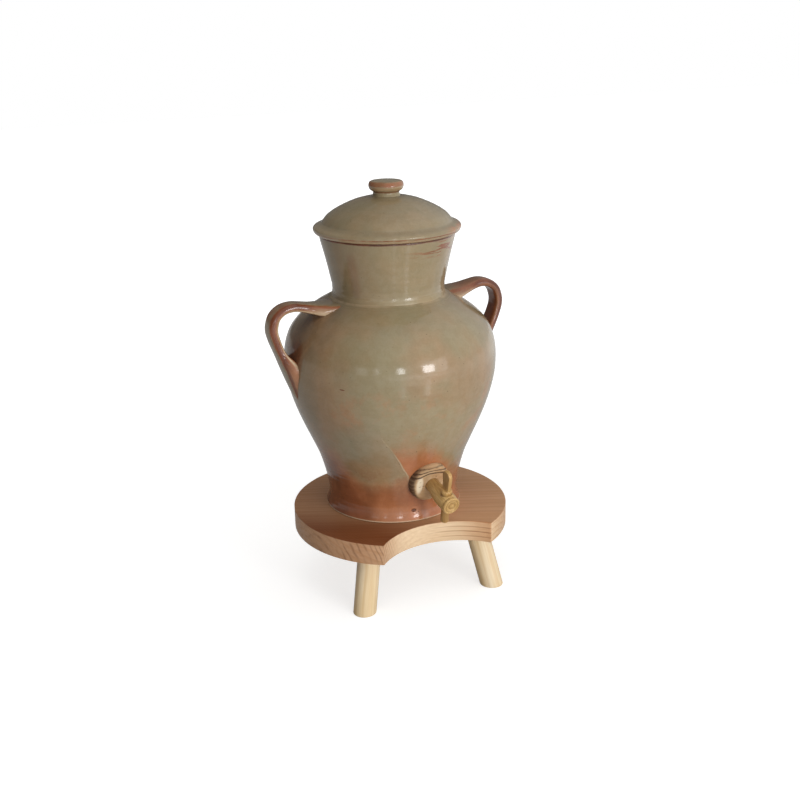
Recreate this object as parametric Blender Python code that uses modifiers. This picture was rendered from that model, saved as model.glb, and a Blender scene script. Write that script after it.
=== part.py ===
"""Stoneware vinegar crock on a three-legged pine stool.

A lidded crock with two pulled strap handles stands on a low round stool.
A cork bung closes the hole low in its wall, and a turned boxwood tap goes through the bung.
The notch in the stool's board lets the tap's spout pour clear of the wood.
The front of the object, with the notch and the tap, faces -Y.
Lengths are in metres and +Z is up.
The origin is on the floor, under the middle of the object's width and depth.
"""

import math

import bmesh
import bpy
from mathutils import Vector

# Fits that every piece shares
CLEARANCE = 0.0003
CUT_OVERRUN = 0.004
MERGE_DISTANCE = 0.00001

# Stool
BOARD_RADIUS = 0.120
BOARD_THICKNESS = 0.023
BOARD_EDGE = 0.0012
STOOL_HEIGHT = 0.087
NOTCH_RADIUS = 0.086
NOTCH_DEPTH = 0.0452
LEG_RADIUS = 0.0125
LEG_EDGE = 0.0012
LEG_SPLAY = math.radians(15.5)
LEG_INSET = 0.0105
LEG_SOCKET_DEPTH = 0.015
FRONT_LEG_TURN = math.radians(44.7)

# Crock body, heights from its foot
CROCK_BACKSET = 0.0130
CROCK_SIDESET = 0.0027
FOOT_RADIUS = 0.076
FOOT_EDGE = 0.0016
FOOT_RING_WIDTH = 0.010
FOOT_RECESS = 0.002
WAIST_RADIUS = 0.0723
WAIST_HEIGHT = 0.018
BELLY_RADIUS = 0.1162
BELLY_HEIGHT = 0.168
NECK_RADIUS = 0.0612
NECK_HEIGHT = 0.239
RIM_RADIUS = 0.0730
RIM_HEIGHT = 0.3056
RIM_EDGE = 0.0018
WALL = 0.007
FLOOR = 0.010

# Lid and its knob, heights from the crock's rim
LID_RADIUS = 0.0789
LID_RIM_HEIGHT = 0.0114
DOME_RADIUS = 0.0697
DOME_HEIGHT = 0.0265
LID_WALL = 0.006
LID_FLANGE_DEPTH = 0.010
LID_FLANGE_WALL = 0.005
LID_FLANGE_PLAY = 0.0028
KNOB_RADIUS = 0.0187
KNOB_NECK_RADIUS = 0.0148
KNOB_NECK_HEIGHT = 0.0055
KNOB_THICKNESS = 0.0098
KNOB_CROWN = 0.0007

# Strap handles, measured on their middle line: out beyond the belly, and up from the foot
HANDLE_TURN = math.radians(2.0)
LEFT_HANDLE_OUT = 0.0196
RIGHT_HANDLE_OUT = 0.0170
HANDLE_TOP = 0.2382
HANDLE_FOOT = 0.143
HANDLE_WIDTH = 0.0225
HANDLE_THICKNESS = 0.0096
LEFT_HANDLE_DROP = 0.0010

# Bung and tap, lengths along the tap's axis from the middle of the bung hole
TAP_TURN = math.radians(6.5)
TAP_TILT = math.radians(15.5)
TAP_LEAN = math.radians(-5.5)
TAP_HEIGHT = 0.0466
BUNG_RADIUS = 0.0228
BUNG_FACE_RADIUS = 0.0196
BUNG_INNER_RADIUS = 0.0206
BUNG_PROUD = 0.0083
BUNG_EDGE = 0.0045
BUNG_INSIDE = 0.0160
TAP_TAIL_RADIUS = 0.0052
TAP_SHANK_RADIUS = 0.0078
TAP_HEAD_RADIUS = 0.0104
TAP_END_RADIUS = 0.0099
TAP_INSIDE = 0.0240
TAP_LENGTH = 0.0508
TAP_BORE_RADIUS = 0.0024
TAP_RING_DEPTH = 0.0012
KEY_PLACE = 0.0374

# Key, heights from the tap's axis
KEY_TOP_RADIUS = 0.0054
KEY_LOW_RADIUS = 0.0046
KEY_COLLAR_RADIUS = 0.0060
KEY_COLLAR_HEIGHT = 0.0028
SPOUT_RADIUS = 0.0044
SPOUT_LENGTH = 0.0285
SPOUT_BORE_RADIUS = 0.0025
BLADE_RADIUS = 0.0066
BLADE_THICKNESS = 0.0042
BLADE_TOP = 0.0378
BLADE_CROWN = 0.0030
LINER_WALL = 0.0012

# How finely round pieces are divided
CROCK_STEPS = 52
LID_STEPS = 44
KNOB_STEPS = 28
BUNG_STEPS = 32
TAP_STEPS = 24
KEY_STEPS = 20
LEG_STEPS = 24
BOARD_STEPS = 80
STATION_STEPS = 2

# Places that follow from the sizes above
BUNG_HOLE_RADIUS = BUNG_RADIUS + CLEARANCE
CROCK_BASE = STOOL_HEIGHT + CLEARANCE
LEG_SPREAD = BOARD_RADIUS - LEG_INSET
LEFT_HANDLE_REACH = BELLY_RADIUS + LEFT_HANDLE_OUT
RIGHT_HANDLE_REACH = BELLY_RADIUS + RIGHT_HANDLE_OUT


def clear_scene():
    """Remove whatever the file holds, so the script can be run again."""
    for obj in list(bpy.data.objects):
        bpy.data.objects.remove(obj, do_unlink=True)


def new_collection(name):
    """Return an empty collection with this name, linked to the scene."""
    collection = bpy.data.collections.get(name)
    if collection is None:
        collection = bpy.data.collections.new(name)
        bpy.context.scene.collection.children.link(collection)
    return collection


def add_finish(obj, colour, roughness, metallic=0.0):
    """Give a piece a Principled material of its own."""
    material = bpy.data.materials.new(obj.name + "_finish")
    material.use_nodes = True
    shader = material.node_tree.nodes["Principled BSDF"]
    shader.inputs["Base Color"].default_value = (*colour, 1.0)
    shader.inputs["Roughness"].default_value = roughness
    shader.inputs["Metallic"].default_value = metallic
    material.diffuse_color = (*colour, 1.0)
    obj.data.materials.clear()
    obj.data.materials.append(material)


def add_object(name, data, collection, parent=None):
    """Link a new object, and hang it on its parent without an offset."""
    obj = bpy.data.objects.new(name, data)
    collection.objects.link(obj)
    obj.parent = parent
    return obj


def add_seat(name, collection, location, rotation=(0, 0, 0), parent=None):
    """Add an empty that carries the pieces of one sub-assembly."""
    seat = add_object(name, None, collection, parent)
    seat.location = location
    seat.rotation_euler = rotation
    return seat


def as_cutter(obj):
    """Show a shape as a guide only."""
    obj.hide_render = True
    obj.display_type = "WIRE"
    return obj


def turned(name, profile, steps, collection, parent=None, closed=False):
    """Turn a profile of (radius, height) points about the piece's own Z axis.

    The profile runs down the outer side.
    An open profile starts and ends on the axis, and a closed one goes round a ring.
    """
    mesh = bpy.data.meshes.new(name)
    points = [(radius, 0, height) for radius, height in profile]
    edges = [(i, i + 1) for i in range(len(points) - 1)]
    if closed:
        edges.append((len(points) - 1, 0))
    mesh.from_pydata(points, edges, [])
    obj = add_object(name, mesh, collection, parent)
    screw = obj.modifiers.new("Turn", "SCREW")
    screw.steps = steps
    screw.render_steps = steps
    screw.use_merge_vertices = True
    screw.merge_threshold = MERGE_DISTANCE
    screw.use_smooth_shade = True
    return obj


def cylinder(name, radius, low, high, steps, collection, parent=None, rotation=(0, 0, 0)):
    """Add a cylinder between two heights on its own Z axis."""
    mesh = bpy.data.meshes.new(name)
    shape = bmesh.new()
    bmesh.ops.create_cone(
        shape, cap_ends=True, segments=steps, radius1=radius, radius2=radius, depth=high - low
    )
    bmesh.ops.translate(shape, verts=shape.verts, vec=(0, 0, (low + high) / 2))
    shape.to_mesh(mesh)
    shape.free()
    obj = add_object(name, mesh, collection, parent)
    obj.rotation_euler = rotation
    return obj


def box(name, size, centre, collection, parent=None):
    """Add a box of this size around a centre."""
    mesh = bpy.data.meshes.new(name)
    shape = bmesh.new()
    bmesh.ops.create_cube(shape, size=1)
    bmesh.ops.scale(shape, verts=shape.verts, vec=size)
    bmesh.ops.translate(shape, verts=shape.verts, vec=centre)
    shape.to_mesh(mesh)
    shape.free()
    return add_object(name, mesh, collection, parent)


def cut(obj, cutter):
    """Cut one shape out of another."""
    boolean = obj.modifiers.new("Cut " + cutter.name, "BOOLEAN")
    boolean.operation = "DIFFERENCE"
    boolean.solver = "EXACT"
    boolean.object = cutter


def soften(obj, width, segments=2):
    """Round the sharp edges of a piece."""
    bevel = obj.modifiers.new("Eased edges", "BEVEL")
    bevel.width = width
    bevel.segments = segments
    bevel.limit_method = "ANGLE"
    bevel.angle_limit = math.radians(50)


def smooth_round(obj):
    """Shade the round faces of a piece smooth and keep its edges sharp."""
    obj.data.shade_smooth()
    obj.data.set_sharp_from_angle(angle=math.radians(35))


def ease_corner(corner_radius, corner_height, width, turn, parts=3):
    """Return the points of a quarter round inside the outer corner of a profile.

    turn is 1 where the profile comes from above and goes in under the piece,
    and -1 where it comes over the top and goes down the side.
    """
    middle = corner_radius - width
    points = []
    for i in range(parts + 1):
        angle = math.pi / 2 * i / parts
        if turn > 0:
            points.append(
                (middle + width * math.cos(angle), corner_height + width - width * math.sin(angle))
            )
        else:
            points.append(
                (middle + width * math.sin(angle), corner_height - width + width * math.cos(angle))
            )
    return points


def smooth_between(points, place):
    """Return the value at a place on a smooth line through (place, value) pairs."""
    last = len(points) - 1
    i = 0
    while i < last - 1 and place > points[i + 1][0]:
        i += 1

    def slope(k):
        before = points[max(k - 1, 0)]
        after = points[min(k + 1, last)]
        return (after[1] - before[1]) / (after[0] - before[0])

    start, end = points[i], points[i + 1]
    span = end[0] - start[0]
    t = (place - start[0]) / span
    value = start[1] * (2 * t**3 - 3 * t**2 + 1) + end[1] * (3 * t**2 - 2 * t**3)
    return value + span * (slope(i) * (t**3 - 2 * t**2 + t) + slope(i + 1) * (t**3 - t**2))


# Shares of the height and of the change in radius, for each stretch of the crock's side
RISE_shares = (
    (0.00, 0.000),
    (0.11, 0.060),
    (0.28, 0.220),
    (0.41, 0.405),
    (0.55, 0.615),
    (0.68, 0.786),
    (0.81, 0.916),
    (0.91, 0.981),
    (1.00, 1.000),
)
SHOULDER_shares = (
    (0.00, 0.000),
    (0.17, 0.011),
    (0.34, 0.058),
    (0.52, 0.162),
    (0.70, 0.370),
    (0.87, 0.680),
    (1.00, 1.000),
)
NECK_shares = (
    (0.00, 0.00),
    (0.16, -0.04),
    (0.34, 0.15),
    (0.54, 0.39),
    (0.74, 0.66),
    (0.89, 0.88),
    (1.00, 1.00),
)


def crock_radius(height):
    """Return the outer radius of the crock at a height above its foot."""
    if height <= WAIST_HEIGHT:
        fall = 1 - height / WAIST_HEIGHT
        return WAIST_RADIUS + (FOOT_RADIUS - WAIST_RADIUS) * fall**2
    if height <= BELLY_HEIGHT:
        rise = (height - WAIST_HEIGHT) / (BELLY_HEIGHT - WAIST_HEIGHT)
        return WAIST_RADIUS + (BELLY_RADIUS - WAIST_RADIUS) * smooth_between(RISE_shares, rise)
    if height <= NECK_HEIGHT:
        rise = (height - BELLY_HEIGHT) / (NECK_HEIGHT - BELLY_HEIGHT)
        return BELLY_RADIUS - (BELLY_RADIUS - NECK_RADIUS) * smooth_between(SHOULDER_shares, rise)
    rise = (height - NECK_HEIGHT) / (RIM_HEIGHT - NECK_HEIGHT)
    return NECK_RADIUS + (RIM_RADIUS - NECK_RADIUS) * smooth_between(NECK_shares, rise)


def crock_slope(height):
    """Return how much the outer radius grows for each unit of height."""
    step = WALL / 10
    return (crock_radius(height + step) - crock_radius(height - step)) / (2 * step)


def crock_inner_radius(height):
    """Return the inner radius that leaves an even wall, measured square to the surface."""
    if height >= NECK_HEIGHT:
        return crock_radius(height) - WALL
    across = WALL * math.hypot(1, crock_slope(height))
    return max(crock_radius(height) - across, NECK_RADIUS - WALL)


def heights_between(low, high, parts):
    """Return evenly spaced heights, both ends included."""
    return [low + (high - low) * i / parts for i in range(parts + 1)]


def shoulder_heights(parts):
    """Return heights from belly to neck that crowd together where the shoulder turns in."""
    rise = NECK_HEIGHT - BELLY_HEIGHT
    return [BELLY_HEIGHT + rise * math.sin(math.pi / 2 * i / parts) for i in range(1, parts + 1)]


def crock_outline():
    """Return the outer side of the crock, from its rim down to its foot."""
    heights = heights_between(WAIST_HEIGHT, BELLY_HEIGHT, 10)
    heights += shoulder_heights(8)
    heights += heights_between(NECK_HEIGHT, RIM_HEIGHT - RIM_EDGE, 6)[1:]
    side = [(crock_radius(height), height) for height in reversed(heights)]
    side.append((crock_radius(WAIST_HEIGHT / 2), WAIST_HEIGHT / 2))
    return side


def crock_profile():
    """Return the closed half section of the crock's wall and floor."""
    mouth_radius = RIM_RADIUS - WALL
    outside = ease_corner(RIM_RADIUS, RIM_HEIGHT, RIM_EDGE, -1, 2) + crock_outline()[1:]
    foot = ease_corner(FOOT_RADIUS, 0, FOOT_EDGE, 1, 2)
    ring_radius = FOOT_RADIUS - FOOT_RING_WIDTH
    under = [(ring_radius, 0), (ring_radius - FOOT_RECESS, FOOT_RECESS), (0, FOOT_RECESS)]
    floor_radius = crock_inner_radius(WAIST_HEIGHT)
    cove = FLOOR / 2
    inside = [
        (0, FLOOR),
        (floor_radius - 2 * cove, FLOOR),
        (floor_radius - cove / 2, FLOOR + cove / 2),
        (crock_inner_radius(FLOOR + 2 * cove), FLOOR + 2 * cove),
    ]
    inner_heights = heights_between(FLOOR + 2 * cove, BELLY_HEIGHT, 7)[1:]
    inner_heights += shoulder_heights(6)[:-1]
    inside += [(crock_inner_radius(height), height) for height in inner_heights]
    inside += [
        (NECK_RADIUS - WALL, NECK_HEIGHT),
        (mouth_radius, RIM_HEIGHT - RIM_EDGE),
        (mouth_radius + RIM_EDGE, RIM_HEIGHT),
    ]
    return inside + outside + foot + under


# The dome's shares of its radius and height, and the bead's shares of the lid's radius
# beyond the dome and of the rim's height
DOME_shares = (
    (0.00, 1.030),
    (0.21, 1.000),
    (0.36, 0.930),
    (0.52, 0.815),
    (0.73, 0.574),
    (0.88, 0.340),
    (0.95, 0.175),
    (1.00, 0.000),
)
BEAD_shares = (
    (0.58, 0.79),
    (0.92, 0.62),
    (1.00, 0.49),
    (0.95, 0.30),
    (0.78, 0.10),
    (0.60, 0.00),
)


def lid_dome_height(radius):
    """Return the height of the lid's outer dome at a radius, above the lid's rim."""
    return DOME_HEIGHT * smooth_between(DOME_shares, radius / DOME_RADIUS)


def lid_profile():
    """Return the half section of the lid, a domed shell with a flange that enters the neck."""
    flange_radius = RIM_RADIUS - WALL - LID_FLANGE_PLAY
    flange_inner = flange_radius - LID_FLANGE_WALL
    dome_radii = heights_between(KNOB_NECK_RADIUS, DOME_RADIUS, 9)
    outer_dome = [(radius, LID_RIM_HEIGHT + lid_dome_height(radius)) for radius in dome_radii]
    top = outer_dome[0][1]
    bead = [
        (DOME_RADIUS + (LID_RADIUS - DOME_RADIUS) * out, LID_RIM_HEIGHT * up)
        for out, up in BEAD_shares
    ]
    flange = [
        (flange_radius, 0),
        (flange_radius, -LID_FLANGE_DEPTH),
        (flange_inner, -LID_FLANGE_DEPTH),
        (flange_inner, LID_RIM_HEIGHT - LID_WALL / 2),
    ]
    inner_radii = heights_between(flange_inner, 0, 5)[1:]
    hollow = [
        (radius, LID_RIM_HEIGHT + lid_dome_height(radius) - LID_WALL) for radius in inner_radii
    ]
    return [(0, top)] + outer_dome + bead + flange + hollow


def lid_top():
    """Return the height of the lid's flat top under the knob, above the lid's own foot."""
    return LID_RIM_HEIGHT + lid_dome_height(KNOB_NECK_RADIUS)


# The knob's edge: shares of its radius and of its thickness
KNOB_shares = (
    (0.55, 1.00),
    (0.85, 0.99),
    (0.95, 0.84),
    (1.00, 0.60),
    (1.00, 0.40),
    (0.96, 0.18),
    (0.87, 0.00),
)


def knob_profile():
    """Return the half section of the knob, a thick disc on a short neck."""
    under = KNOB_NECK_HEIGHT
    edge = [(KNOB_RADIUS * out, under + KNOB_THICKNESS * up) for out, up in KNOB_shares]
    cove = KNOB_NECK_HEIGHT / 3
    neck = [(KNOB_NECK_RADIUS - cove / 2, under - cove), (KNOB_NECK_RADIUS, 0), (0, 0)]
    return [(0, under + KNOB_THICKNESS + KNOB_CROWN)] + edge + neck


# Stations along a handle's middle line: shares of the way out from the neck to the reach,
# of the way up from foot to top, of the outer face's and inner face's width, and of the depth
# from the middle line to the inner face
LEFT_STATION_shares = (
    (-0.03, 0.950, 2.20, 2.00, 1.60),
    (0.12, 0.951, 1.85, 1.85, 1.90),
    (0.27, 0.957, 1.35, 1.70, 1.75),
    (0.42, 0.970, 1.04, 1.20, 1.30),
    (0.56, 0.988, 1.00, 1.00, 1.02),
    (0.69, 1.000, 0.98, 1.00, 0.95),
    (0.83, 0.979, 0.97, 1.00, 0.95),
    (0.94, 0.915, 0.96, 1.00, 1.05),
    (0.99, 0.825, 0.96, 1.00, 1.15),
    (1.00, 0.740, 0.96, 1.00, 1.20),
    (0.972, 0.650, 0.97, 1.00, 1.20),
    (0.93, 0.560, 0.98, 1.00, 1.10),
    (0.885, 0.470, 1.00, 1.15, 1.20),
    (0.842, 0.375, 1.00, 1.75, 2.10),
    (0.787, 0.260, 1.00, 2.15, 2.60),
    (0.725, 0.127, 0.85, 1.80, 2.30),
    (0.66, 0.000, 0.62, 1.20, 1.80),
    (0.60, -0.080, 0.38, 0.80, 1.40),
)
RIGHT_STATION_shares = (
    (-0.03, 0.925, 1.25, 3.00, 1.30),
    (0.19, 0.945, 1.15, 2.70, 1.20),
    (0.37, 0.960, 1.04, 1.80, 1.05),
    (0.54, 0.984, 1.00, 1.15, 1.00),
    (0.69, 1.000, 0.98, 1.00, 0.95),
    (0.83, 0.979, 0.97, 1.00, 0.95),
    (0.94, 0.915, 0.96, 1.00, 1.00),
    (0.99, 0.825, 0.96, 1.00, 1.00),
    (1.00, 0.740, 0.96, 1.00, 0.95),
    (0.965, 0.640, 0.97, 1.00, 0.90),
    (0.897, 0.519, 1.00, 1.10, 0.90),
    (0.81, 0.392, 1.00, 1.60, 1.20),
    (0.74, 0.270, 0.94, 2.00, 1.90),
    (0.68, 0.127, 0.70, 1.80, 2.00),
    (0.62, 0.000, 0.40, 1.20, 1.70),
)
# Half section of the strap: shares of its half width and of half its thickness
STRAP_shares = (
    (0.00, 1.00),
    (0.50, 0.96),
    (0.82, 0.80),
    (0.96, 0.48),
    (1.00, 0.00),
    (0.97, -0.52),
    (0.85, -0.84),
    (0.50, -0.96),
    (0.00, -0.96),
)


def station(stations, place):
    """Return the five shares at a place along the handle, counted in stations."""
    return [
        smooth_between([(i, row[k]) for i, row in enumerate(stations)], place)
        for k in range(len(stations[0]))
    ]


def middle_point(stations, place, reach):
    """Return the point of the handle's middle line at a place, in the handle's own XZ plane."""
    out, up = station(stations, place)[:2]
    return Vector((
        NECK_RADIUS + (reach - NECK_RADIUS) * out,
        0,
        HANDLE_FOOT + (HANDLE_TOP - HANDLE_FOOT) * up,
    ))


def strap_ring(stations, place, reach):
    """Return the closed section of the strap at a place along the handle."""
    centre = middle_point(stations, place, reach)
    small = 1 / (8 * STATION_STEPS)
    ahead = middle_point(stations, place + small, reach)
    along = (ahead - middle_point(stations, place - small, reach)).normalized()
    outward = Vector((-along.z, 0, along.x))
    _, _, outer_width, inner_width, inner_depth = station(stations, place)
    right = []
    for wide, deep in STRAP_shares:
        width = inner_width + (outer_width - inner_width) * (deep + 1) / 2
        depth = deep * HANDLE_THICKNESS / 2
        if deep < 0:
            depth = depth * inner_depth
        side = Vector((0, wide * width * HANDLE_WIDTH / 2, 0))
        right.append(centre + outward * depth + side)
    left = [Vector((point.x, -point.y, point.z)) for point in reversed(right[1:-1])]
    return right + left


def strap_mesh(stations, reach):
    """Loft the strap through its unlike sections, and close both ends."""
    mesh = bpy.data.meshes.new("strap")
    shape = bmesh.new()
    count = (len(stations) - 1) * STATION_STEPS
    rings = []
    for i in range(count + 1):
        section = strap_ring(stations, i / STATION_STEPS, reach)
        rings.append([shape.verts.new(point) for point in section])
    for ring, following in zip(rings, rings[1:]):
        for k in range(len(ring)):
            shape.faces.new((ring[k - 1], ring[k], following[k], following[k - 1]))
    shape.faces.new(rings[0])
    shape.faces.new(rings[-1])
    bmesh.ops.recalc_face_normals(shape, faces=shape.faces)
    shape.to_mesh(mesh)
    shape.free()
    return mesh


def make_handles(parts, cutters, crock_seat):
    """Make both handles, cut so that their roots lie on the crock's wall."""
    profile = [(radius + CLEARANCE, height) for radius, height in crock_outline()]
    profile = [(0, RIM_HEIGHT)] + profile + [(0, WAIST_HEIGHT / 2)]
    wall = as_cutter(turned("handle_root_cutter", profile, CROCK_STEPS, cutters, crock_seat))
    sides = (
        ("right_handle", RIGHT_STATION_shares, RIGHT_HANDLE_REACH, 0, 0),
        ("left_handle", LEFT_STATION_shares, LEFT_HANDLE_REACH, math.pi, LEFT_HANDLE_DROP),
    )
    for name, stations, reach, turn, drop in sides:
        handle = add_object(name, strap_mesh(stations, reach), parts, crock_seat)
        handle.rotation_euler = (0, 0, HANDLE_TURN + turn)
        handle.location = (0, 0, -drop)
        cut(handle, wall)
        smooth_round(handle)
        add_finish(handle, (0.30, 0.17, 0.08), 0.25)


def make_crock(parts, cutters, crock_seat, tap_seat):
    """Make the crock's body, with the tapered hole for the bung."""
    body = turned("crock_body", crock_profile(), CROCK_STEPS, parts, crock_seat)
    hole = [(0, BUNG_PROUD + BUNG_RADIUS), (BUNG_HOLE_RADIUS, BUNG_PROUD + BUNG_RADIUS)]
    hole += [(BUNG_HOLE_RADIUS, 0)]
    hole += [(BUNG_INNER_RADIUS + CLEARANCE, -BUNG_INSIDE)]
    hole += [(0, -BUNG_INSIDE - CUT_OVERRUN)]
    cutter = as_cutter(turned("bung_hole_cutter", hole, BUNG_STEPS, cutters, tap_seat))
    cutter.rotation_euler = (math.pi / 2, 0, 0)
    cut(body, cutter)
    add_finish(body, (0.31, 0.26, 0.17), 0.22)


def make_lid(parts, crock_seat):
    """Make the lid and the knob on top of it."""
    lid_seat = add_seat("lid_seat", parts, (0, 0, RIM_HEIGHT + CLEARANCE), parent=crock_seat)
    lid = turned("lid", lid_profile(), LID_STEPS, parts, lid_seat)
    add_finish(lid, (0.33, 0.29, 0.17), 0.25)
    knob = turned("lid_knob", knob_profile(), KNOB_STEPS, parts, lid_seat)
    knob.location = (0, 0, lid_top() + CLEARANCE)
    add_finish(knob, (0.34, 0.27, 0.16), 0.25)


def shank_radius(place):
    """Return the radius of the tap's tapered shank at a place along its axis."""
    share = (place + TAP_INSIDE) / (BUNG_PROUD + TAP_INSIDE)
    return TAP_TAIL_RADIUS + (TAP_SHANK_RADIUS - TAP_TAIL_RADIUS) * share


def key_radius(height):
    """Return the radius of the key's tapered plug at a height above the tap's axis."""
    share = (height + TAP_HEAD_RADIUS) / (2 * TAP_HEAD_RADIUS)
    return KEY_LOW_RADIUS + (KEY_TOP_RADIUS - KEY_LOW_RADIUS) * share


def make_bung(parts, tap_seat):
    """Make the cork bung, a tapered plug with a hole for the tap."""
    play = CLEARANCE
    profile = [
        (BUNG_FACE_RADIUS, BUNG_PROUD),
        (BUNG_RADIUS - BUNG_EDGE / 4, BUNG_PROUD - BUNG_EDGE / 2),
        (BUNG_RADIUS, BUNG_PROUD - BUNG_EDGE),
        (BUNG_RADIUS, 0),
        (BUNG_INNER_RADIUS, -BUNG_INSIDE),
        (shank_radius(-BUNG_INSIDE) + play, -BUNG_INSIDE),
        (shank_radius(BUNG_PROUD) + play, BUNG_PROUD),
    ]
    bung = turned("tap_bung", profile, BUNG_STEPS, parts, tap_seat, closed=True)
    bung.rotation_euler = (math.pi / 2, 0, 0)
    add_finish(bung, (0.45, 0.28, 0.13), 0.8)


# Front end of the tap: shares of the end's radius, and shares of the ring depth
TAP_END_shares = (
    (0.00, 0.55),
    (0.22, 0.50),
    (0.30, -0.55),
    (0.42, -0.55),
    (0.52, 0.00),
    (0.66, 0.00),
    (0.72, -0.50),
    (0.80, 0.00),
    (0.92, -0.05),
    (1.00, -0.65),
)


def make_tap_body(parts, cutters, tap_seat, key_seat):
    """Make the tap's turned body, bored from its tail and across its head."""
    head_back = KEY_PLACE - 2 * TAP_HEAD_RADIUS
    end_face = TAP_LENGTH - TAP_RING_DEPTH
    face = [
        (TAP_END_RADIUS * out, end_face + TAP_RING_DEPTH * deep) for out, deep in TAP_END_shares
    ]
    side = [
        (TAP_END_RADIUS, end_face - 2 * TAP_RING_DEPTH),
        (TAP_END_RADIUS - TAP_RING_DEPTH / 2, end_face - 3 * TAP_RING_DEPTH),
        (TAP_HEAD_RADIUS, KEY_PLACE + TAP_HEAD_RADIUS / 2),
        (TAP_HEAD_RADIUS, KEY_PLACE - TAP_HEAD_RADIUS / 2),
        ((TAP_HEAD_RADIUS + TAP_SHANK_RADIUS) / 2, head_back + TAP_HEAD_RADIUS / 2),
        (TAP_SHANK_RADIUS, head_back),
        (shank_radius(BUNG_PROUD), BUNG_PROUD),
        (TAP_TAIL_RADIUS, -TAP_INSIDE),
    ]
    bore = [(TAP_BORE_RADIUS, -TAP_INSIDE), (TAP_BORE_RADIUS, KEY_PLACE), (0, KEY_PLACE)]
    body = turned("tap_body", face + side + bore, TAP_STEPS, parts, tap_seat)
    body.rotation_euler = (math.pi / 2, 0, 0)
    reach = TAP_HEAD_RADIUS + CUT_OVERRUN
    room = 2 * CLEARANCE + LINER_WALL
    socket = [
        (0, reach),
        (key_radius(reach) + room, reach),
        (key_radius(-reach) + room, -reach),
        (0, -reach),
    ]
    cut(body, as_cutter(turned("key_socket_cutter", socket, KEY_STEPS, cutters, key_seat)))
    add_finish(body, (0.55, 0.36, 0.12), 0.45)


def make_liner(parts, cutters, key_seat):
    """Make the cork sleeve between the tap's body and its key."""
    reach = math.sqrt(TAP_HEAD_RADIUS**2 - (KEY_TOP_RADIUS + LINER_WALL + CLEARANCE) ** 2)
    low = CLEARANCE
    high = CLEARANCE + LINER_WALL
    profile = [
        (key_radius(reach) + high, reach),
        (key_radius(-reach) + high, -reach),
        (key_radius(-reach) + low, -reach),
        (key_radius(reach) + low, reach),
    ]
    liner = turned("key_liner", profile, KEY_STEPS, parts, key_seat, closed=True)
    port = cylinder(
        "liner_port_cutter", TAP_BORE_RADIUS, -2 * KEY_TOP_RADIUS, 0, KEY_STEPS, cutters, key_seat,
        (math.pi / 2, 0, 0),
    )
    cut(liner, as_cutter(port))
    add_finish(liner, (0.42, 0.26, 0.13), 0.85)


def make_key(parts, cutters, key_seat):
    """Make the key: blade, collar, tapered plug and spout in one turned piece."""
    collar_foot = TAP_HEAD_RADIUS + CLEARANCE
    collar_top = collar_foot + KEY_COLLAR_HEIGHT
    blade_foot = collar_top + KEY_COLLAR_HEIGHT / 3
    spout_top = -TAP_HEAD_RADIUS - CLEARANCE
    profile = [
        (0, BLADE_TOP),
        (BLADE_RADIUS / 2, BLADE_TOP - BLADE_CROWN / 6),
        (BLADE_RADIUS - BLADE_CROWN / 4, BLADE_TOP - BLADE_CROWN),
        (BLADE_RADIUS, BLADE_TOP - 2 * BLADE_CROWN),
        (BLADE_RADIUS - BLADE_CROWN / 3, blade_foot + 2 * BLADE_CROWN),
        (KEY_COLLAR_RADIUS - KEY_COLLAR_HEIGHT / 4, blade_foot),
        (KEY_COLLAR_RADIUS, collar_top - KEY_COLLAR_HEIGHT / 3),
        (KEY_COLLAR_RADIUS, collar_foot + KEY_COLLAR_HEIGHT / 4),
        (key_radius(collar_foot), collar_foot),
        (key_radius(spout_top), spout_top),
        (SPOUT_RADIUS, spout_top - KEY_LOW_RADIUS / 4),
        (SPOUT_RADIUS, -SPOUT_LENGTH),
        (SPOUT_BORE_RADIUS, -SPOUT_LENGTH),
        (SPOUT_BORE_RADIUS, SPOUT_BORE_RADIUS),
        (0, SPOUT_BORE_RADIUS),
    ]
    key = turned("tap_key", profile, KEY_STEPS, parts, key_seat)
    port = cylinder(
        "key_port_cutter", TAP_BORE_RADIUS, 0, KEY_COLLAR_RADIUS, KEY_STEPS, cutters, key_seat,
        (0, math.pi / 2, 0),
    )
    cut(key, as_cutter(port))
    height = BLADE_TOP - blade_foot + CUT_OVERRUN
    for side in (-1, 1):
        place = side * (BLADE_THICKNESS / 2 + BLADE_RADIUS / 2)
        flat = box(
            "blade_side_cutter", (BLADE_RADIUS, 4 * BLADE_RADIUS, height),
            (place, 0, blade_foot + height / 2), cutters, key_seat,
        )
        cut(key, as_cutter(flat))
    add_finish(key, (0.52, 0.34, 0.12), 0.45)


def make_board(parts, cutters, stool_seat):
    """Make the stool's board, with its notch and the blind sockets for the legs."""
    under = STOOL_HEIGHT - BOARD_THICKNESS
    board = cylinder(
        "stool_board", BOARD_RADIUS, under, STOOL_HEIGHT, BOARD_STEPS, parts, stool_seat
    )
    notch = cylinder(
        "notch_cutter", NOTCH_RADIUS, under - CUT_OVERRUN, STOOL_HEIGHT + CUT_OVERRUN, BOARD_STEPS,
        cutters, stool_seat,
    )
    notch.location = (0, -(BOARD_RADIUS - NOTCH_DEPTH + NOTCH_RADIUS), 0)
    cut(board, as_cutter(notch))
    soften(board, BOARD_EDGE, 1)
    return board


def leg_places():
    """Name each leg and say how far it is turned from the front."""
    return (
        ("front_left_leg", -FRONT_LEG_TURN),
        ("front_right_leg", FRONT_LEG_TURN),
        ("back_leg", math.pi),
    )


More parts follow.
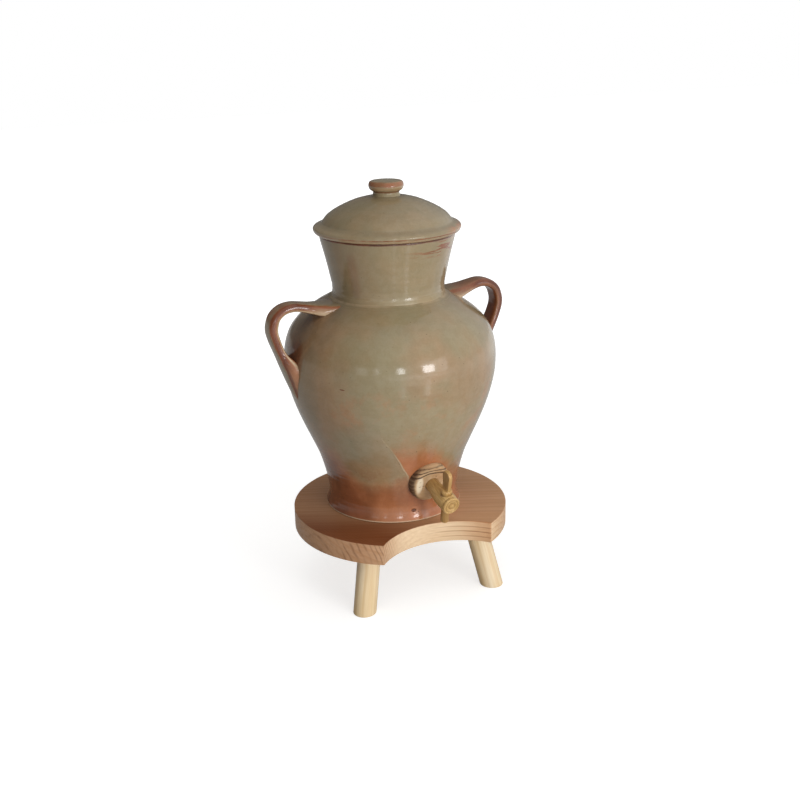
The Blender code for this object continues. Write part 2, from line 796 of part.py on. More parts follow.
def make_legs(parts, cutters, stool_seat, board):
    """Make the three splayed legs, each cut level at the floor and let into the board."""
    under = STOOL_HEIGHT - BOARD_THICKNESS
    slant = 1 / math.cos(LEG_SPLAY)
    top = (under + LEG_SOCKET_DEPTH) * slant
    for name, turn in leg_places():
        leg_seat = add_seat(
            name + "_seat", parts, (LEG_SPREAD * math.sin(turn), -LEG_SPREAD * math.cos(turn), 0),
            (-LEG_SPLAY, 0, turn), stool_seat,
        )
        socket = cylinder(
            name + "_socket_cutter", LEG_RADIUS + CLEARANCE, 0, top + CLEARANCE, LEG_STEPS, cutters,
            leg_seat,
        )
        cut(board, as_cutter(socket))
        foot = -2 * LEG_RADIUS
        leg = cylinder(name, LEG_RADIUS, foot, top, LEG_STEPS, parts, leg_seat)
        floor = box(
            name + "_floor_cutter", (4 * LEG_RADIUS, 4 * LEG_RADIUS, 4 * LEG_RADIUS),
            (0, 0, -2 * LEG_RADIUS), cutters,
        )
        floor.parent = stool_seat
        floor.location = (LEG_SPREAD * math.sin(turn), -LEG_SPREAD * math.cos(turn), 0)
        cut(leg, as_cutter(floor))
        soften(leg, LEG_EDGE, 1)
        smooth_round(leg)
        add_finish(leg, (0.62, 0.42, 0.20), 0.6)
    smooth_round(board)
    add_finish(board, (0.52, 0.25, 0.11), 0.5)


def main():
    """Build the whole object."""
    clear_scene()
    parts = new_collection("vinegar_crock")
    cutters = new_collection("cutters")
    wall_radius = crock_radius(TAP_HEIGHT)
    end_reach = TAP_END_RADIUS * math.hypot(math.sin(TAP_TILT), math.tan(TAP_TURN))
    tap_reach = wall_radius + TAP_LENGTH * math.cos(TAP_TILT) + end_reach
    front_reach = tap_reach * math.cos(TAP_TURN) - CROCK_BACKSET
    back_reach = BELLY_RADIUS + CROCK_BACKSET
    stool_y = (front_reach - back_reach) / 2
    stool_seat = add_seat("stool_seat", parts, (CROCK_SIDESET, stool_y, 0))
    crock_seat = add_seat("crock_seat", parts, (0, stool_y + CROCK_BACKSET, CROCK_BASE))
    tap_place = (
        wall_radius * math.sin(TAP_TURN), -wall_radius * math.cos(TAP_TURN), TAP_HEIGHT
    )
    tap_seat = add_seat("tap_seat", parts, tap_place, (TAP_TILT, 0, TAP_TURN), crock_seat)
    lean_seat = add_seat("lean_seat", parts, (0, 0, 0), (0, TAP_LEAN, 0), tap_seat)
    key_seat = add_seat("key_seat", parts, (0, -KEY_PLACE, 0), parent=lean_seat)
    board = make_board(parts, cutters, stool_seat)
    make_legs(parts, cutters, stool_seat, board)
    make_crock(parts, cutters, crock_seat, tap_seat)
    make_handles(parts, cutters, crock_seat)
    make_lid(parts, crock_seat)
    make_bung(parts, tap_seat)
    make_tap_body(parts, cutters, tap_seat, key_seat)
    make_liner(parts, cutters, key_seat)
    make_key(parts, cutters, key_seat)
    bpy.context.view_layer.update()
    total = sum(1 for obj in parts.objects if obj.type == "MESH")
    print(f"built {total} pieces, key axis through {tuple(key_seat.matrix_world.translation)}")


main()
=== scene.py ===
# %% [markdown]
# # A vinegar crock on its notched stool
# The object is a lidded stoneware crock for making vinegar. It stands on a low pine stool, and a boxwood tap
# goes through a cork bung near its foot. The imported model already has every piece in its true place, so this
# notebook dresses it: each visible piece is modelled again with smoother curves, and gets the finish of its
# own material. Lengths are in metres, up is +Z and the front faces -Y.

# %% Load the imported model
import math

import bpy
from mathutils import Matrix, Vector


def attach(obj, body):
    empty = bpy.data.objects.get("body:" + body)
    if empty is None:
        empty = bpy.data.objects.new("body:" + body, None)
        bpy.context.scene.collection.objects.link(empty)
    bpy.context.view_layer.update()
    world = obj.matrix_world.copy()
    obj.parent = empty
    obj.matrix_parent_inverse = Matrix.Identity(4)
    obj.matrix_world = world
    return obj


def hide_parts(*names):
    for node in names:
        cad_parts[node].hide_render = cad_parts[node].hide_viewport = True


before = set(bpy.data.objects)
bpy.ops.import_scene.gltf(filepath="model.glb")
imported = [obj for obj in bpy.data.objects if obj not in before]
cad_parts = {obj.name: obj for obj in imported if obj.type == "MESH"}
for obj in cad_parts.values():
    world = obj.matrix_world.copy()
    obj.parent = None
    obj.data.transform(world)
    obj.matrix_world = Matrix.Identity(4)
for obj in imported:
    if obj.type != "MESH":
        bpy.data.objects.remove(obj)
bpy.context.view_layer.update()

print("nodes:", sorted(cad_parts))

# %% [markdown]
# ## The camera
# The photograph looks at the crock from the front left and from a little above, with a lens that is long
# enough to keep the circles calm. The camera is placed by an angle, a height and a distance instead of by
# hand, because those are the numbers that a photographer can change. It is rolled by a little more than one
# degree, as the picture is.

# %% Place the camera
scene = bpy.context.scene
CAMERA_TURN = math.radians(-22.7)
CAMERA_RISE = math.radians(18.79)
CAMERA_ROLL = math.radians(-1.33)
CAMERA_DISTANCE = 1.2848
CAMERA_TARGET = Vector((0, 0.006362, 0.20307))
FOCAL_PIXELS = 1150.5
FRAME_PIXELS = 800
SIDE_SHIFT_PIXELS = 9.0


def direction(turn, rise):
    """The direction from the crock towards a place, turned from the front and raised from level."""
    return Vector((math.sin(turn) * math.cos(rise), -math.cos(turn) * math.cos(rise), math.sin(rise)))


back = direction(CAMERA_TURN, CAMERA_RISE)
level_right = Vector((math.cos(CAMERA_TURN), math.sin(CAMERA_TURN), 0))
level_up = back.cross(level_right)
right = math.cos(CAMERA_ROLL) * level_right + math.sin(CAMERA_ROLL) * level_up
up = math.cos(CAMERA_ROLL) * level_up - math.sin(CAMERA_ROLL) * level_right
lens = bpy.data.cameras.new("photo_camera")
lens.sensor_width = 36
lens.lens = lens.sensor_width * FOCAL_PIXELS / FRAME_PIXELS
lens.shift_x = SIDE_SHIFT_PIXELS / FRAME_PIXELS
camera = bpy.data.objects.new("photo_camera", lens)
scene.collection.objects.link(camera)
camera.matrix_world = (
    Matrix.Translation(CAMERA_TARGET + CAMERA_DISTANCE * back)
    @ Matrix((right, up, back)).transposed().to_4x4()
)
scene.camera = camera
print(f"lens {lens.lens:.1f} mm, {camera.matrix_world.translation.z:.2f} m above the floor")

# %% [markdown]
# ## Colours and a short way to wire nodes
# Colours are easiest to judge as they look on a screen, from 0 to 255, but shaders work with linear light.
# One function turns the first into the second. What changes over a surface is kept as a pattern, which can be
# added and multiplied like a number: each sum becomes a Math node in the same tree. So a material reads like
# a recipe instead of a wiring list.

# %% Helpers for colours and nodes
def shade(red, green, blue):
    """A screen colour, from 0 to 255, as the linear colour that a shader takes."""
    def linear(value):
        value = value / 255
        return value / 12.92 if value <= 0.04045 else ((value + 0.055) / 1.055) ** 2.4

    return (linear(red), linear(green), linear(blue), 1.0)


WHITE = shade(255, 255, 255)


class Pattern:
    """A number, colour or place that changes over the surface. A sum with it becomes a Math node."""

    def __init__(self, socket):
        self.socket = socket
        self.tree = socket.id_data

    def __add__(self, other):
        return calc("ADD", self, other)

    def __sub__(self, other):
        return calc("SUBTRACT", self, other)

    def __rsub__(self, other):
        return calc("SUBTRACT", other, self)

    def __mul__(self, other):
        return calc("MULTIPLY", self, other)

    def __truediv__(self, other):
        return calc("DIVIDE", self, other)

    def __abs__(self):
        return calc("ABSOLUTE", self)


def send(pattern, socket):
    """Link a pattern to an input."""
    pattern.tree.links.new(pattern.socket, socket)


def add_node(kind, inputs, tree=None, **settings):
    """Add a node, fill or link its inputs by name or number, and return its outputs."""
    tree = tree or next(value.tree for value in inputs.values() if isinstance(value, Pattern))
    node = tree.nodes.new("ShaderNode" + kind)
    for key, value in settings.items():
        setattr(node, key, value)
    for key, value in inputs.items():
        if isinstance(value, Pattern):
            send(value, node.inputs[key])
        else:
            node.inputs[key].default_value = value
    return node.outputs


def put(kind, inputs, output=0, **settings):
    """Add a node and return one of its outputs."""
    return Pattern(add_node(kind, inputs, **settings)[output])


def put_all(kind, inputs, **settings):
    """Add a node and return all its outputs by name."""
    return {socket.name: Pattern(socket) for socket in add_node(kind, inputs, **settings)}


def calc(operation, first, second=0.0):
    """One sum of the shader."""
    return put("Math", {0: first, 1: second}, operation=operation)


def any_of(first, *others):
    """The strongest of several masks."""
    for other in others:
        first = calc("MAXIMUM", first, other)
    return first


def length_of(x, y):
    """The length of two numbers at right angles."""
    return calc("SQRT", x * x + y * y)


def fade(value, low, high, bottom=0.0, top=1.0):
    """Go smoothly from bottom to top while the value goes from low to high."""
    inputs = {"Value": value, "From Min": low, "From Max": high, "To Min": bottom, "To Max": top}
    return put("MapRange", inputs, interpolation_type="SMOOTHSTEP")


def fade_out(value, low, high):
    """Go from 1 to 0 while the value goes from low to high."""
    return fade(value, low, high, 1.0, 0.0)


def band(value, low, high, soft):
    """1 between low and high, with soft ends."""
    return fade(value, low - soft, low + soft) * fade_out(value, high - soft, high + soft)


def mix(amount, first, second, blend_type="MIX"):
    """Mix two colours. They are inputs 6 and 7 of a Mix node, and output 2."""
    return put("Mix", {0: amount, 6: first, 7: second}, output=2, data_type="RGBA", blend_type=blend_type)


def coats(colour, *layers):
    """Lay colours over each other. Each layer is a mask and the colour that it shows."""
    for mask, layer in layers:
        colour = mix(mask, colour, layer)
    return colour


def tinted(colour, mask, tint):
    """Tint a colour where a mask is low."""
    return mix(1.0, colour, mix(mask, tint, WHITE), "MULTIPLY")


def noise(position, scale, detail=3.0, roughness=0.5, distortion=0.0):
    """A value that wanders about one half."""
    inputs = {"Vector": position, "Scale": scale, "Detail": detail, "Roughness": roughness,
              "Distortion": distortion}
    return put("TexNoise", inputs)


def mapped(position, **inputs):
    """Move, turn or stretch a place: Location, Rotation or Scale."""
    return put("Mapping", {"Vector": position, **inputs})


def seen_from(position, origin):
    """A place, counted from an origin."""
    return mapped(position, Location=tuple(-value for value in origin))


def dot(position, towards):
    """How far a place lies in a direction."""
    return put("VectorMath", {0: position, 1: tuple(towards)}, output="Value", operation="DOT_PRODUCT")


def axes_of(vector):
    """The three numbers of a vector."""
    return [Pattern(socket) for socket in add_node("SeparateXYZ", {0: vector})]


def new_group(name, inputs, outputs):
    """Start a node group, and return it with its inputs as patterns and the sockets of its result."""
    tree = bpy.data.node_groups.new(name, "ShaderNodeTree")
    for label, kind, value in inputs:
        socket = tree.interface.new_socket(label, in_out="INPUT", socket_type="NodeSocket" + kind)
        socket.default_value = value
    for label, kind in outputs:
        tree.interface.new_socket(label, in_out="OUTPUT", socket_type="NodeSocket" + kind)
    given = {socket.name: Pattern(socket) for socket in tree.nodes.new("NodeGroupInput").outputs}
    return tree, given, tree.nodes.new("NodeGroupOutput").inputs


def use_group(group, inputs):
    """Place a group in a material with its own values, and return its outputs."""
    return put_all("Group", inputs, node_tree=group)


def new_finish(name, roughness=0.5, ior=1.5):
    """Start a material, and return it with its shader's inputs and the place on the object."""
    material = bpy.data.materials.new(name)
    material.use_nodes = True
    sockets = material.node_tree.nodes["Principled BSDF"].inputs
    sockets["Roughness"].default_value = roughness
    sockets["IOR"].default_value = ior
    return material, sockets, put("TexCoord", {}, output="Object", tree=material.node_tree)


def bump(sockets, height, distance, strength):
    """Send a height to the shader as small relief."""
    send(put("Bump", {"Height": height, "Distance": distance, "Strength": strength}), sockets["Normal"])


print("helpers for nodes are ready")

# %% [markdown]
# ## The room: floor, backdrop and lights
# The object stands on a pale floor before a white backdrop. The strongest light comes from the front right,
# low and soft like a window. The room is darker on the other side, also in what the glaze mirrors, and a white
# ceiling lights all that faces up. The glaze is shiny, so it also shows the windows as a row of small bright
# shapes. Each of those is a lamp of its own, because a reflection on a round pot shows where a lamp is much
# more clearly than the light that it gives.

# %% Floor and backdrop
BRIGHT_SIDE = direction(math.radians(50), math.radians(8))


def room_mirrored(facing):
    """How bright the glaze mirrors the room: white on the window side, dim on the other."""
    return fade(facing, -0.30, 0.60, 0.16, 1.0)


bpy.ops.mesh.primitive_plane_add(size=12, location=(0, 0, 0))
floor = bpy.context.object
floor.name = "floor"
floor_finish, sockets, place = new_finish("pale_floor", roughness=0.8)
sockets["Base Color"].default_value = shade(190, 189, 187)
sight = put_all("LightPath", {}, tree=place.tree)
from_middle = put("VectorMath", {0: place}, output="Value", operation="LENGTH")
outwards = put("VectorMath", {0: place}, operation="NORMALIZE")
glow = sight["Is Camera Ray"] * fade(from_middle, 0.25, 1.3, 0.70, 0.97)
mirrored = put("Mix", {0: fade(from_middle, 0.25, 1.5), 2: 0.10, 3: room_mirrored(dot(outwards, BRIGHT_SIDE))})
glow += sight["Is Glossy Ray"] * mirrored
sockets["Emission Color"].default_value = WHITE
send(glow, sockets["Emission Strength"])
floor.data.materials.append(floor_finish)

world = bpy.data.worlds.new("studio")
scene.world = world
world.use_nodes = True
sight = put_all("LightPath", {}, tree=world.node_tree)
view_direction = put("TexCoord", {}, output="Generated", tree=world.node_tree)
facing = dot(view_direction, BRIGHT_SIDE)
ceiling = fade(axes_of(view_direction)[2], 0.5, 1.0, 0.0, 0.85)
room_light = fade(facing, -0.7, 0.9, 0.08, 0.44) + ceiling
mirrored = any_of(sight["Is Glossy Ray"], sight["Is Transmission Ray"])
strength = put("Mix", {0: mirrored, 2: room_light, 3: room_mirrored(facing)})
background = world.node_tree.nodes["Background"].inputs
background["Color"].default_value = WHITE
send(any_of(strength, sight["Is Camera Ray"]), background["Strength"])
scene.view_settings.view_transform = "Standard"
print("floor and backdrop are in place")

# %% Lamps
LAMP_AIM = Vector((0, -0.02, 0.24))


def add_lamp(name, turn, rise, distance, width, height, radiance, lights=True, mirrored=True):
    """Hang a soft lamp that faces the crock. Radiance 1 is as bright as a white wall."""
    light = bpy.data.lights.new(name, "AREA")
    light.shape = "RECTANGLE"
    light.size = width
    light.size_y = height
    light.energy = radiance * math.pi * width * height
    lamp = bpy.data.objects.new(name, light)
    scene.collection.objects.link(lamp)
    towards = direction(math.radians(turn), math.radians(rise))
    lamp.location = LAMP_AIM + distance * towards
    lamp.rotation_euler = towards.to_track_quat("Z", "Y").to_euler()
    lamp.visible_camera = False
    lamp.visible_diffuse = lights
    lamp.visible_glossy = mirrored


add_lamp("window_light", 8, 7, 2.2, 1.2, 1.0, 5.1, mirrored=False)
add_lamp("window_right", 17, 4.5, 2.2, 0.46, 0.44, 12)
add_lamp("window_middle", -12, 4.5, 2.2, 0.24, 0.34, 11)
add_lamp("window_left", -37, 4.0, 2.2, 0.12, 0.40, 4)
add_lamp("window_right_glow", 25, 6.0, 2.3, 1.10, 0.80, 1.7, lights=False)
add_lamp("window_far_left", -53, 4.0, 2.2, 0.50, 0.42, 1.2, lights=False)
add_lamp("table_shine_right", 14, -22, 0.55, 0.05, 0.22, 1.6, lights=False)
add_lamp("table_shine_middle", -12, -23, 0.55, 0.04, 0.20, 1.1, lights=False)

# %% [markdown]
# ## Modelling helpers
# Most of this object was made on a wheel or a lathe, so most pieces start as half a section: one vertex is
# extruded from point to point and the line is spun round the axis. Corners of a section are given with the
# amount by which they are rounded, as a turner would say it. Everything is deselected before an operator
# runs, because operators act on all that is selected.

# %% Helpers for modelling
UP = Vector((0, 0, 1))
JOIN_DISTANCE = 0.000002
CORNER_PARTS = 6
TURNED_SMOOTH = 40


def only(*pieces):
    """Select these pieces alone, and make the last one active."""
    bpy.ops.object.select_all(action="DESELECT")
    for piece in pieces:
        piece.select_set(True)
        bpy.context.view_layer.objects.active = piece


def settle(piece, location=None, rotation=(0, 0, 0)):
    """Put a piece at its place, or leave it where it is, and keep that place in its mesh."""
    only(piece)
    if location is not None:
        piece.location = location
    piece.rotation_euler = rotation
    bpy.ops.object.transform_apply(location=True, rotation=True, scale=True)
    return piece


def rounded_line(corners):
    """Turn (radius, height) corners into points. A third number rounds the corner with a short curve."""
    points = []
    for i, (across, tall, *rounding) in enumerate(corners):
        if not rounding:
            points.append((across, tall))
            continue
        here = Vector((across, tall))
        start, end = (
            here + rounding[0] * (Vector(corners[k % len(corners)][:2]) - here).normalized()
            for k in (i - 1, i + 1)
        )
        for k in range(CORNER_PARTS + 1):
            t = k / CORNER_PARTS
            point = start * (1 - t) ** 2 + here * (2 * t * (1 - t)) + end * t**2
            points.append((point.x, point.y))
    return points


def turned(name, corners, steps, location=(0, 0, 0), rotation=(0, 0, 0)):
    """Draw half a section about the Z axis, spin it into a closed solid and put it at its place."""
    only()
    bpy.ops.mesh.primitive_plane_add(size=0.01, location=(0, 0, 0))
    piece = bpy.context.object
    piece.name = piece.data.name = name
    bpy.ops.object.mode_set(mode="EDIT")
    bpy.ops.mesh.merge(type="CENTER")
    section = rounded_line(corners)
    start = Vector((section[0][0], 0, section[0][1]))
    bpy.ops.transform.translate(value=start)
    for (radius, height), (next_radius, next_height) in zip(section, section[1:]):
        step = (next_radius - radius, 0, next_height - height)
        bpy.ops.mesh.extrude_vertices_move(TRANSFORM_OT_translate={"value": step})
    bpy.ops.mesh.select_all(action="SELECT")
    bpy.ops.mesh.spin(steps=steps, angle=2 * math.pi, center=(0, 0, 0), axis=(0, 0, 1))
    bpy.ops.mesh.select_all(action="SELECT")
    bpy.ops.mesh.remove_doubles(threshold=JOIN_DISTANCE)
    bpy.ops.mesh.normals_make_consistent(inside=False)
    bpy.ops.object.mode_set(mode="OBJECT")
    bpy.ops.object.shade_smooth_by_angle(angle=math.radians(TURNED_SMOOTH))
    return settle(piece, location, rotation)


def finish_modifiers(piece):
    """Apply every modifier, in order."""
    only(piece)
    for modifier in list(piece.modifiers):
        bpy.ops.object.modifier_apply(modifier=modifier.name)


def cut_away(piece, cutter, solver="EXACT"):
    """Cut one solid out of another, and remove the cutter."""
    boolean = piece.modifiers.new("cut", "BOOLEAN")
    boolean.operation = "DIFFERENCE"
    boolean.solver = solver
    boolean.object = cutter
    finish_modifiers(piece)
    bpy.data.objects.remove(cutter)


def ease_edges(piece, width, segments=3, angle=50, smooth=30):
    """Round the sharp edges that are left, and smooth all that is flatter than an angle."""
    bevel = piece.modifiers.new("eased edges", "BEVEL")
    bevel.width = width
    bevel.segments = segments
    bevel.limit_method = "ANGLE"
    bevel.angle_limit = math.radians(angle)
    finish_modifiers(piece)
    bpy.ops.object.shade_smooth_by_angle(angle=math.radians(smooth))


def place_on(piece, body, node, finish):
    """Dress a piece: its finish, the body that carries it, and the CAD node that it stands for."""
    piece.data.materials.clear()
    piece.data.materials.append(finish)
    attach(piece, body)
    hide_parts(node)
    piece.data.calc_loop_triangles()
    print(f"{piece.name}: {len(piece.data.loop_triangles)} triangles")


def smooth_between(points, place):
    """The value at a place on a smooth line through (place, value) pairs."""
    last = len(points) - 1
    i = 0
    while i < last - 1 and place > points[i + 1][0]:
        i += 1

    def slope(k):
        before, after = points[max(k - 1, 0)], points[min(k + 1, last)]
        return (after[1] - before[1]) / (after[0] - before[0])

    (start, low), (end, high) = points[i], points[i + 1]
    span = end - start
    t = (place - start) / span
    value = low * (2 * t**3 - 3 * t**2 + 1) + high * (3 * t**2 - 2 * t**3)
    return value + span * (slope(i) * (t**3 - 2 * t**2 + t) + slope(i + 1) * (t**3 - t**2))


print("helpers for modelling are ready")

# %% [markdown]
# ## Places that the pieces share
# The crock stands a little behind the middle of its stool, and a little to its left. The tap leaves the wall
# low at the front, turned a few degrees to the right and tilted down, and its key leans a little to one side.
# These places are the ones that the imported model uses, so each piece is modelled upright at the origin and
# then put there.

# %% Shared places
CROCK_FOOT = Vector((0, 0.006362, 0.0873))
LID_FOOT = CROCK_FOOT + Vector((0, 0, 0.3059))
STOOL_MIDDLE = Vector((0.0027, -0.006638, 0))
TAP_START = Vector((0.008822, -0.071067, 0.1339))
TAP_TURN = math.radians(6.5)
TAP_TILT = math.radians(15.5)
KEY_LEAN = math.radians(-5.5)
KEY_PLACE = 0.0374
TAP_REST = (math.pi / 2 + TAP_TILT, 0, TAP_TURN)
tap_frame = Matrix.Rotation(TAP_TURN, 3, "Z") @ Matrix.Rotation(TAP_TILT, 3, "X")
key_frame = tap_frame @ Matrix.Rotation(KEY_LEAN, 3, "Y")
KEY_REST = key_frame.to_euler()
KEY_MIDDLE = TAP_START + tap_frame @ Vector((0, -KEY_PLACE, 0))
print("the key turns about", [round(value, 4) for value in KEY_MIDDLE])

# %% [markdown]
# ## The crock
# A thrown pot is never a perfect curve: the fingers leave shallow rings on the way up. Half a section is
# drawn from rim to foot, with a wall of even thickness inside, and spun round. The rings are a small wave on
# the outer radius, so that they catch the light as real relief. The hole for the bung is cut out last.

# %% The crock's outline
RIM_HEIGHT = 0.3056
NECK_HEIGHT = 0.239
BELLY_HEIGHT = 0.168
WAIST_HEIGHT = 0.018
RISE = ((0, 0), (0.11, 0.060), (0.28, 0.220), (0.41, 0.405), (0.55, 0.615), (0.68, 0.786), (0.81, 0.916),
        (0.91, 0.981), (1, 1))
SHOULDER = ((0, 0), (0.17, 0.011), (0.34, 0.058), (0.52, 0.162), (0.70, 0.370), (0.87, 0.680), (1, 1))
NECK = ((0, 0), (0.16, -0.04), (0.34, 0.15), (0.54, 0.39), (0.74, 0.66), (0.89, 0.88), (1, 1))
FOOT_RADIUS, WAIST_RADIUS, BELLY_RADIUS, NECK_RADIUS, RIM_RADIUS = 0.076, 0.0723, 0.1162, 0.0612, 0.0730
WALL, CROCK_FLOOR = 0.007, 0.010


def crock_radius(height):
    """The crock's outer radius at a height above its foot."""
    if height <= WAIST_HEIGHT:
        return WAIST_RADIUS + (FOOT_RADIUS - WAIST_RADIUS) * (1 - height / WAIST_HEIGHT) ** 2
    if height <= BELLY_HEIGHT:
        rise = (height - WAIST_HEIGHT) / (BELLY_HEIGHT - WAIST_HEIGHT)
        return WAIST_RADIUS + (BELLY_RADIUS - WAIST_RADIUS) * smooth_between(RISE, rise)
    if height <= NECK_HEIGHT:
        rise = (height - BELLY_HEIGHT) / (NECK_HEIGHT - BELLY_HEIGHT)
        return BELLY_RADIUS - (BELLY_RADIUS - NECK_RADIUS) * smooth_between(SHOULDER, rise)
    rise = (height - NECK_HEIGHT) / (RIM_HEIGHT - NECK_HEIGHT)
    return NECK_RADIUS + (RIM_RADIUS - NECK_RADIUS) * smooth_between(NECK, rise)


def throwing_rings(height):
    """Shallow waves that the potter's fingers leave, weaker near the rim."""
    fade_out = min(1, (RIM_HEIGHT - height) / 0.03, height / 0.01)
    wave = math.sin(height / 0.0064 * 2 * math.pi + 2.0 * math.sin(height / 0.031))
    return 0.00012 * fade_out * wave * (0.6 + 0.4 * math.sin(height / 0.017))


def wall_across(height):
    """How far in the inner side of the wall is, measured level."""
    step = 0.0007
    slope = (crock_radius(height + step) - crock_radius(height - step)) / (2 * step)
    return WALL * math.hypot(1, slope) if height < NECK_HEIGHT else WALL


# %% Spin the crock
OUTER_STEP = 0.0022
outer = []
height = RIM_HEIGHT - 0.004
while height > 0.0028:
    step = OUTER_STEP / 2 if abs(height - NECK_HEIGHT) < 0.012 else OUTER_STEP
    outer.append((crock_radius(height) + throwing_rings(height), height))
    height -= step
inner = []
height = CROCK_FLOOR + 0.012
while height < RIM_HEIGHT - 0.004:
    inner.append((max(crock_radius(height) - wall_across(height), NECK_RADIUS - WALL), height))
    height += 0.005
MOUTH_RADIUS = RIM_RADIUS - WALL
section = [
    (0, CROCK_FLOOR), (inner[0][0] - 0.004, CROCK_FLOOR, 0.008), *inner,
    (MOUTH_RADIUS, RIM_HEIGHT - 0.0035), (MOUTH_RADIUS + 0.0003, RIM_HEIGHT, 0.0018),
    (RIM_RADIUS, RIM_HEIGHT, 0.0018), *outer,
    (FOOT_RADIUS, 0.0012), (FOOT_RADIUS - 0.0006, 0, 0.0010), (0.066, 0), (0.064, 0.002), (0, 0.002),
]
crock = turned("crock", section, 128, CROCK_FOOT)
section = [(0, 0.040), (0.0231, 0.040), (0.0231, 0), (0.0209, -0.016), (0, -0.020)]
cut_away(crock, turned("bung_hole", section, 96, TAP_START, TAP_REST))
bpy.ops.object.shade_smooth_by_angle(angle=math.radians(TURNED_SMOOTH))
print("crock:", len(crock.data.polygons), "faces")

# %% [markdown]
# ## The strap handles
# Each handle is pulled from wet clay as a flat strap, stuck to the shoulder with a broad root, bent over and
# smeared out again where it lands. Its section changes all the way, which no single operator makes. So rings
# are laid along a middle line, as a boat builder sets frames, and bridged into one skin. A subdivision then
# takes the corners off, as wet fingers do.

# %% Loft the handles
HANDLE_TURN = math.radians(2.0)
HANDLE_TOP, HANDLE_FOOT = 0.2382, 0.143
HANDLE_WIDTH, HANDLE_THICKNESS = 0.0225, 0.0096
# Each station: out towards the reach, up from foot to top, outer and inner width, depth of the inner face
LEFT_STATIONS = (
    (-0.03, 0.950, 2.20, 2.00, 1.60), (0.12, 0.951, 1.85, 1.85, 1.90), (0.27, 0.957, 1.35, 1.70, 1.75),
    (0.42, 0.970, 1.04, 1.20, 1.30), (0.56, 0.988, 1.00, 1.00, 1.02), (0.69, 1.000, 0.98, 1.00, 0.95),
    (0.83, 0.979, 0.97, 1.00, 0.95), (0.94, 0.915, 0.96, 1.00, 1.05), (0.99, 0.825, 0.96, 1.00, 1.15),
    (1.00, 0.740, 0.96, 1.00, 1.20), (0.972, 0.650, 0.97, 1.00, 1.20), (0.93, 0.560, 0.98, 1.00, 1.10),
    (0.885, 0.470, 1.00, 1.15, 1.20), (0.842, 0.375, 1.00, 1.75, 2.10), (0.787, 0.260, 1.00, 2.15, 2.60),
    (0.725, 0.127, 0.85, 1.80, 2.30), (0.66, 0.000, 0.62, 1.20, 1.80), (0.60, -0.080, 0.38, 0.80, 1.40),
)
RIGHT_STATIONS = (
    (-0.03, 0.925, 1.25, 3.00, 1.30), (0.19, 0.945, 1.15, 2.70, 1.20), (0.37, 0.960, 1.04, 1.80, 1.05),
    (0.54, 0.984, 1.00, 1.15, 1.00), (0.69, 1.000, 0.98, 1.00, 0.95), (0.83, 0.979, 0.97, 1.00, 0.95),
    (0.94, 0.915, 0.96, 1.00, 1.00), (0.99, 0.825, 0.96, 1.00, 1.00), (1.00, 0.740, 0.96, 1.00, 0.95),
    (0.965, 0.640, 0.97, 1.00, 0.90), (0.897, 0.519, 1.00, 1.10, 0.90), (0.81, 0.392, 1.00, 1.60, 1.20),
    (0.74, 0.270, 0.94, 2.00, 1.90), (0.68, 0.127, 0.70, 1.80, 2.00), (0.62, 0.000, 0.40, 1.20, 1.70),
)
# Half of the strap's section: across, and outwards, with how much of an edge each point is
STRAP = (
    (0.00, 1.00, 0.0), (0.30, 0.99, 0.0), (0.56, 0.96, 0.1), (0.76, 0.87, 0.5), (0.89, 0.70, 1.0),
    (0.97, 0.42, 0.7), (1.00, 0.00, 0.4), (0.98, -0.45, 0.7), (0.91, -0.74, 1.0), (0.77, -0.90, 0.5),
    (0.56, -0.96, 0.1), (0.30, -0.97, 0.0), (0.00, -0.97, 0.0),
)
RINGS_PER_STATION = 5
STRAP_MARKS = ("arris", "inward", "along")


def station(stations, place):
    """The five shares at a place along the handle, counted in stations."""
    return [smooth_between([(i, row[k]) for i, row in enumerate(stations)], place) for k in range(5)]


def middle_point(stations, place, reach):
    """The point of the handle's middle line at a place."""
    out, tall = station(stations, place)[:2]
    return Vector((NECK_RADIUS + (reach - NECK_RADIUS) * out, 0, HANDLE_FOOT + (HANDLE_TOP - HANDLE_FOOT) * tall))


def strap_ring(stations, place, reach):
    """One closed ring of the strap. Each point also says how far out it faces and how much of an edge it is."""
    centre = middle_point(stations, place, reach)
    ahead, behind = (middle_point(stations, place + step, reach) for step in (0.05, -0.05))
    along = (ahead - behind).normalized()
    outward = Vector((-along.z, 0, along.x))
    _, _, outer_width, inner_width, inner_depth = station(stations, place)
    half = []
    for across, deep, edge in STRAP:
        width = inner_width + (outer_width - inner_width) * (deep + 1) / 2
        depth = deep * HANDLE_THICKNESS / 2 * (inner_depth if deep < 0 else 1)
        point = centre + outward * depth + Vector((0, across * width * HANDLE_WIDTH / 2, 0))
        half.append((point, deep, edge))
    other = [(Vector((point.x, -point.y, point.z)), deep, edge) for point, deep, edge in reversed(half[1:-1])]
    return half + other


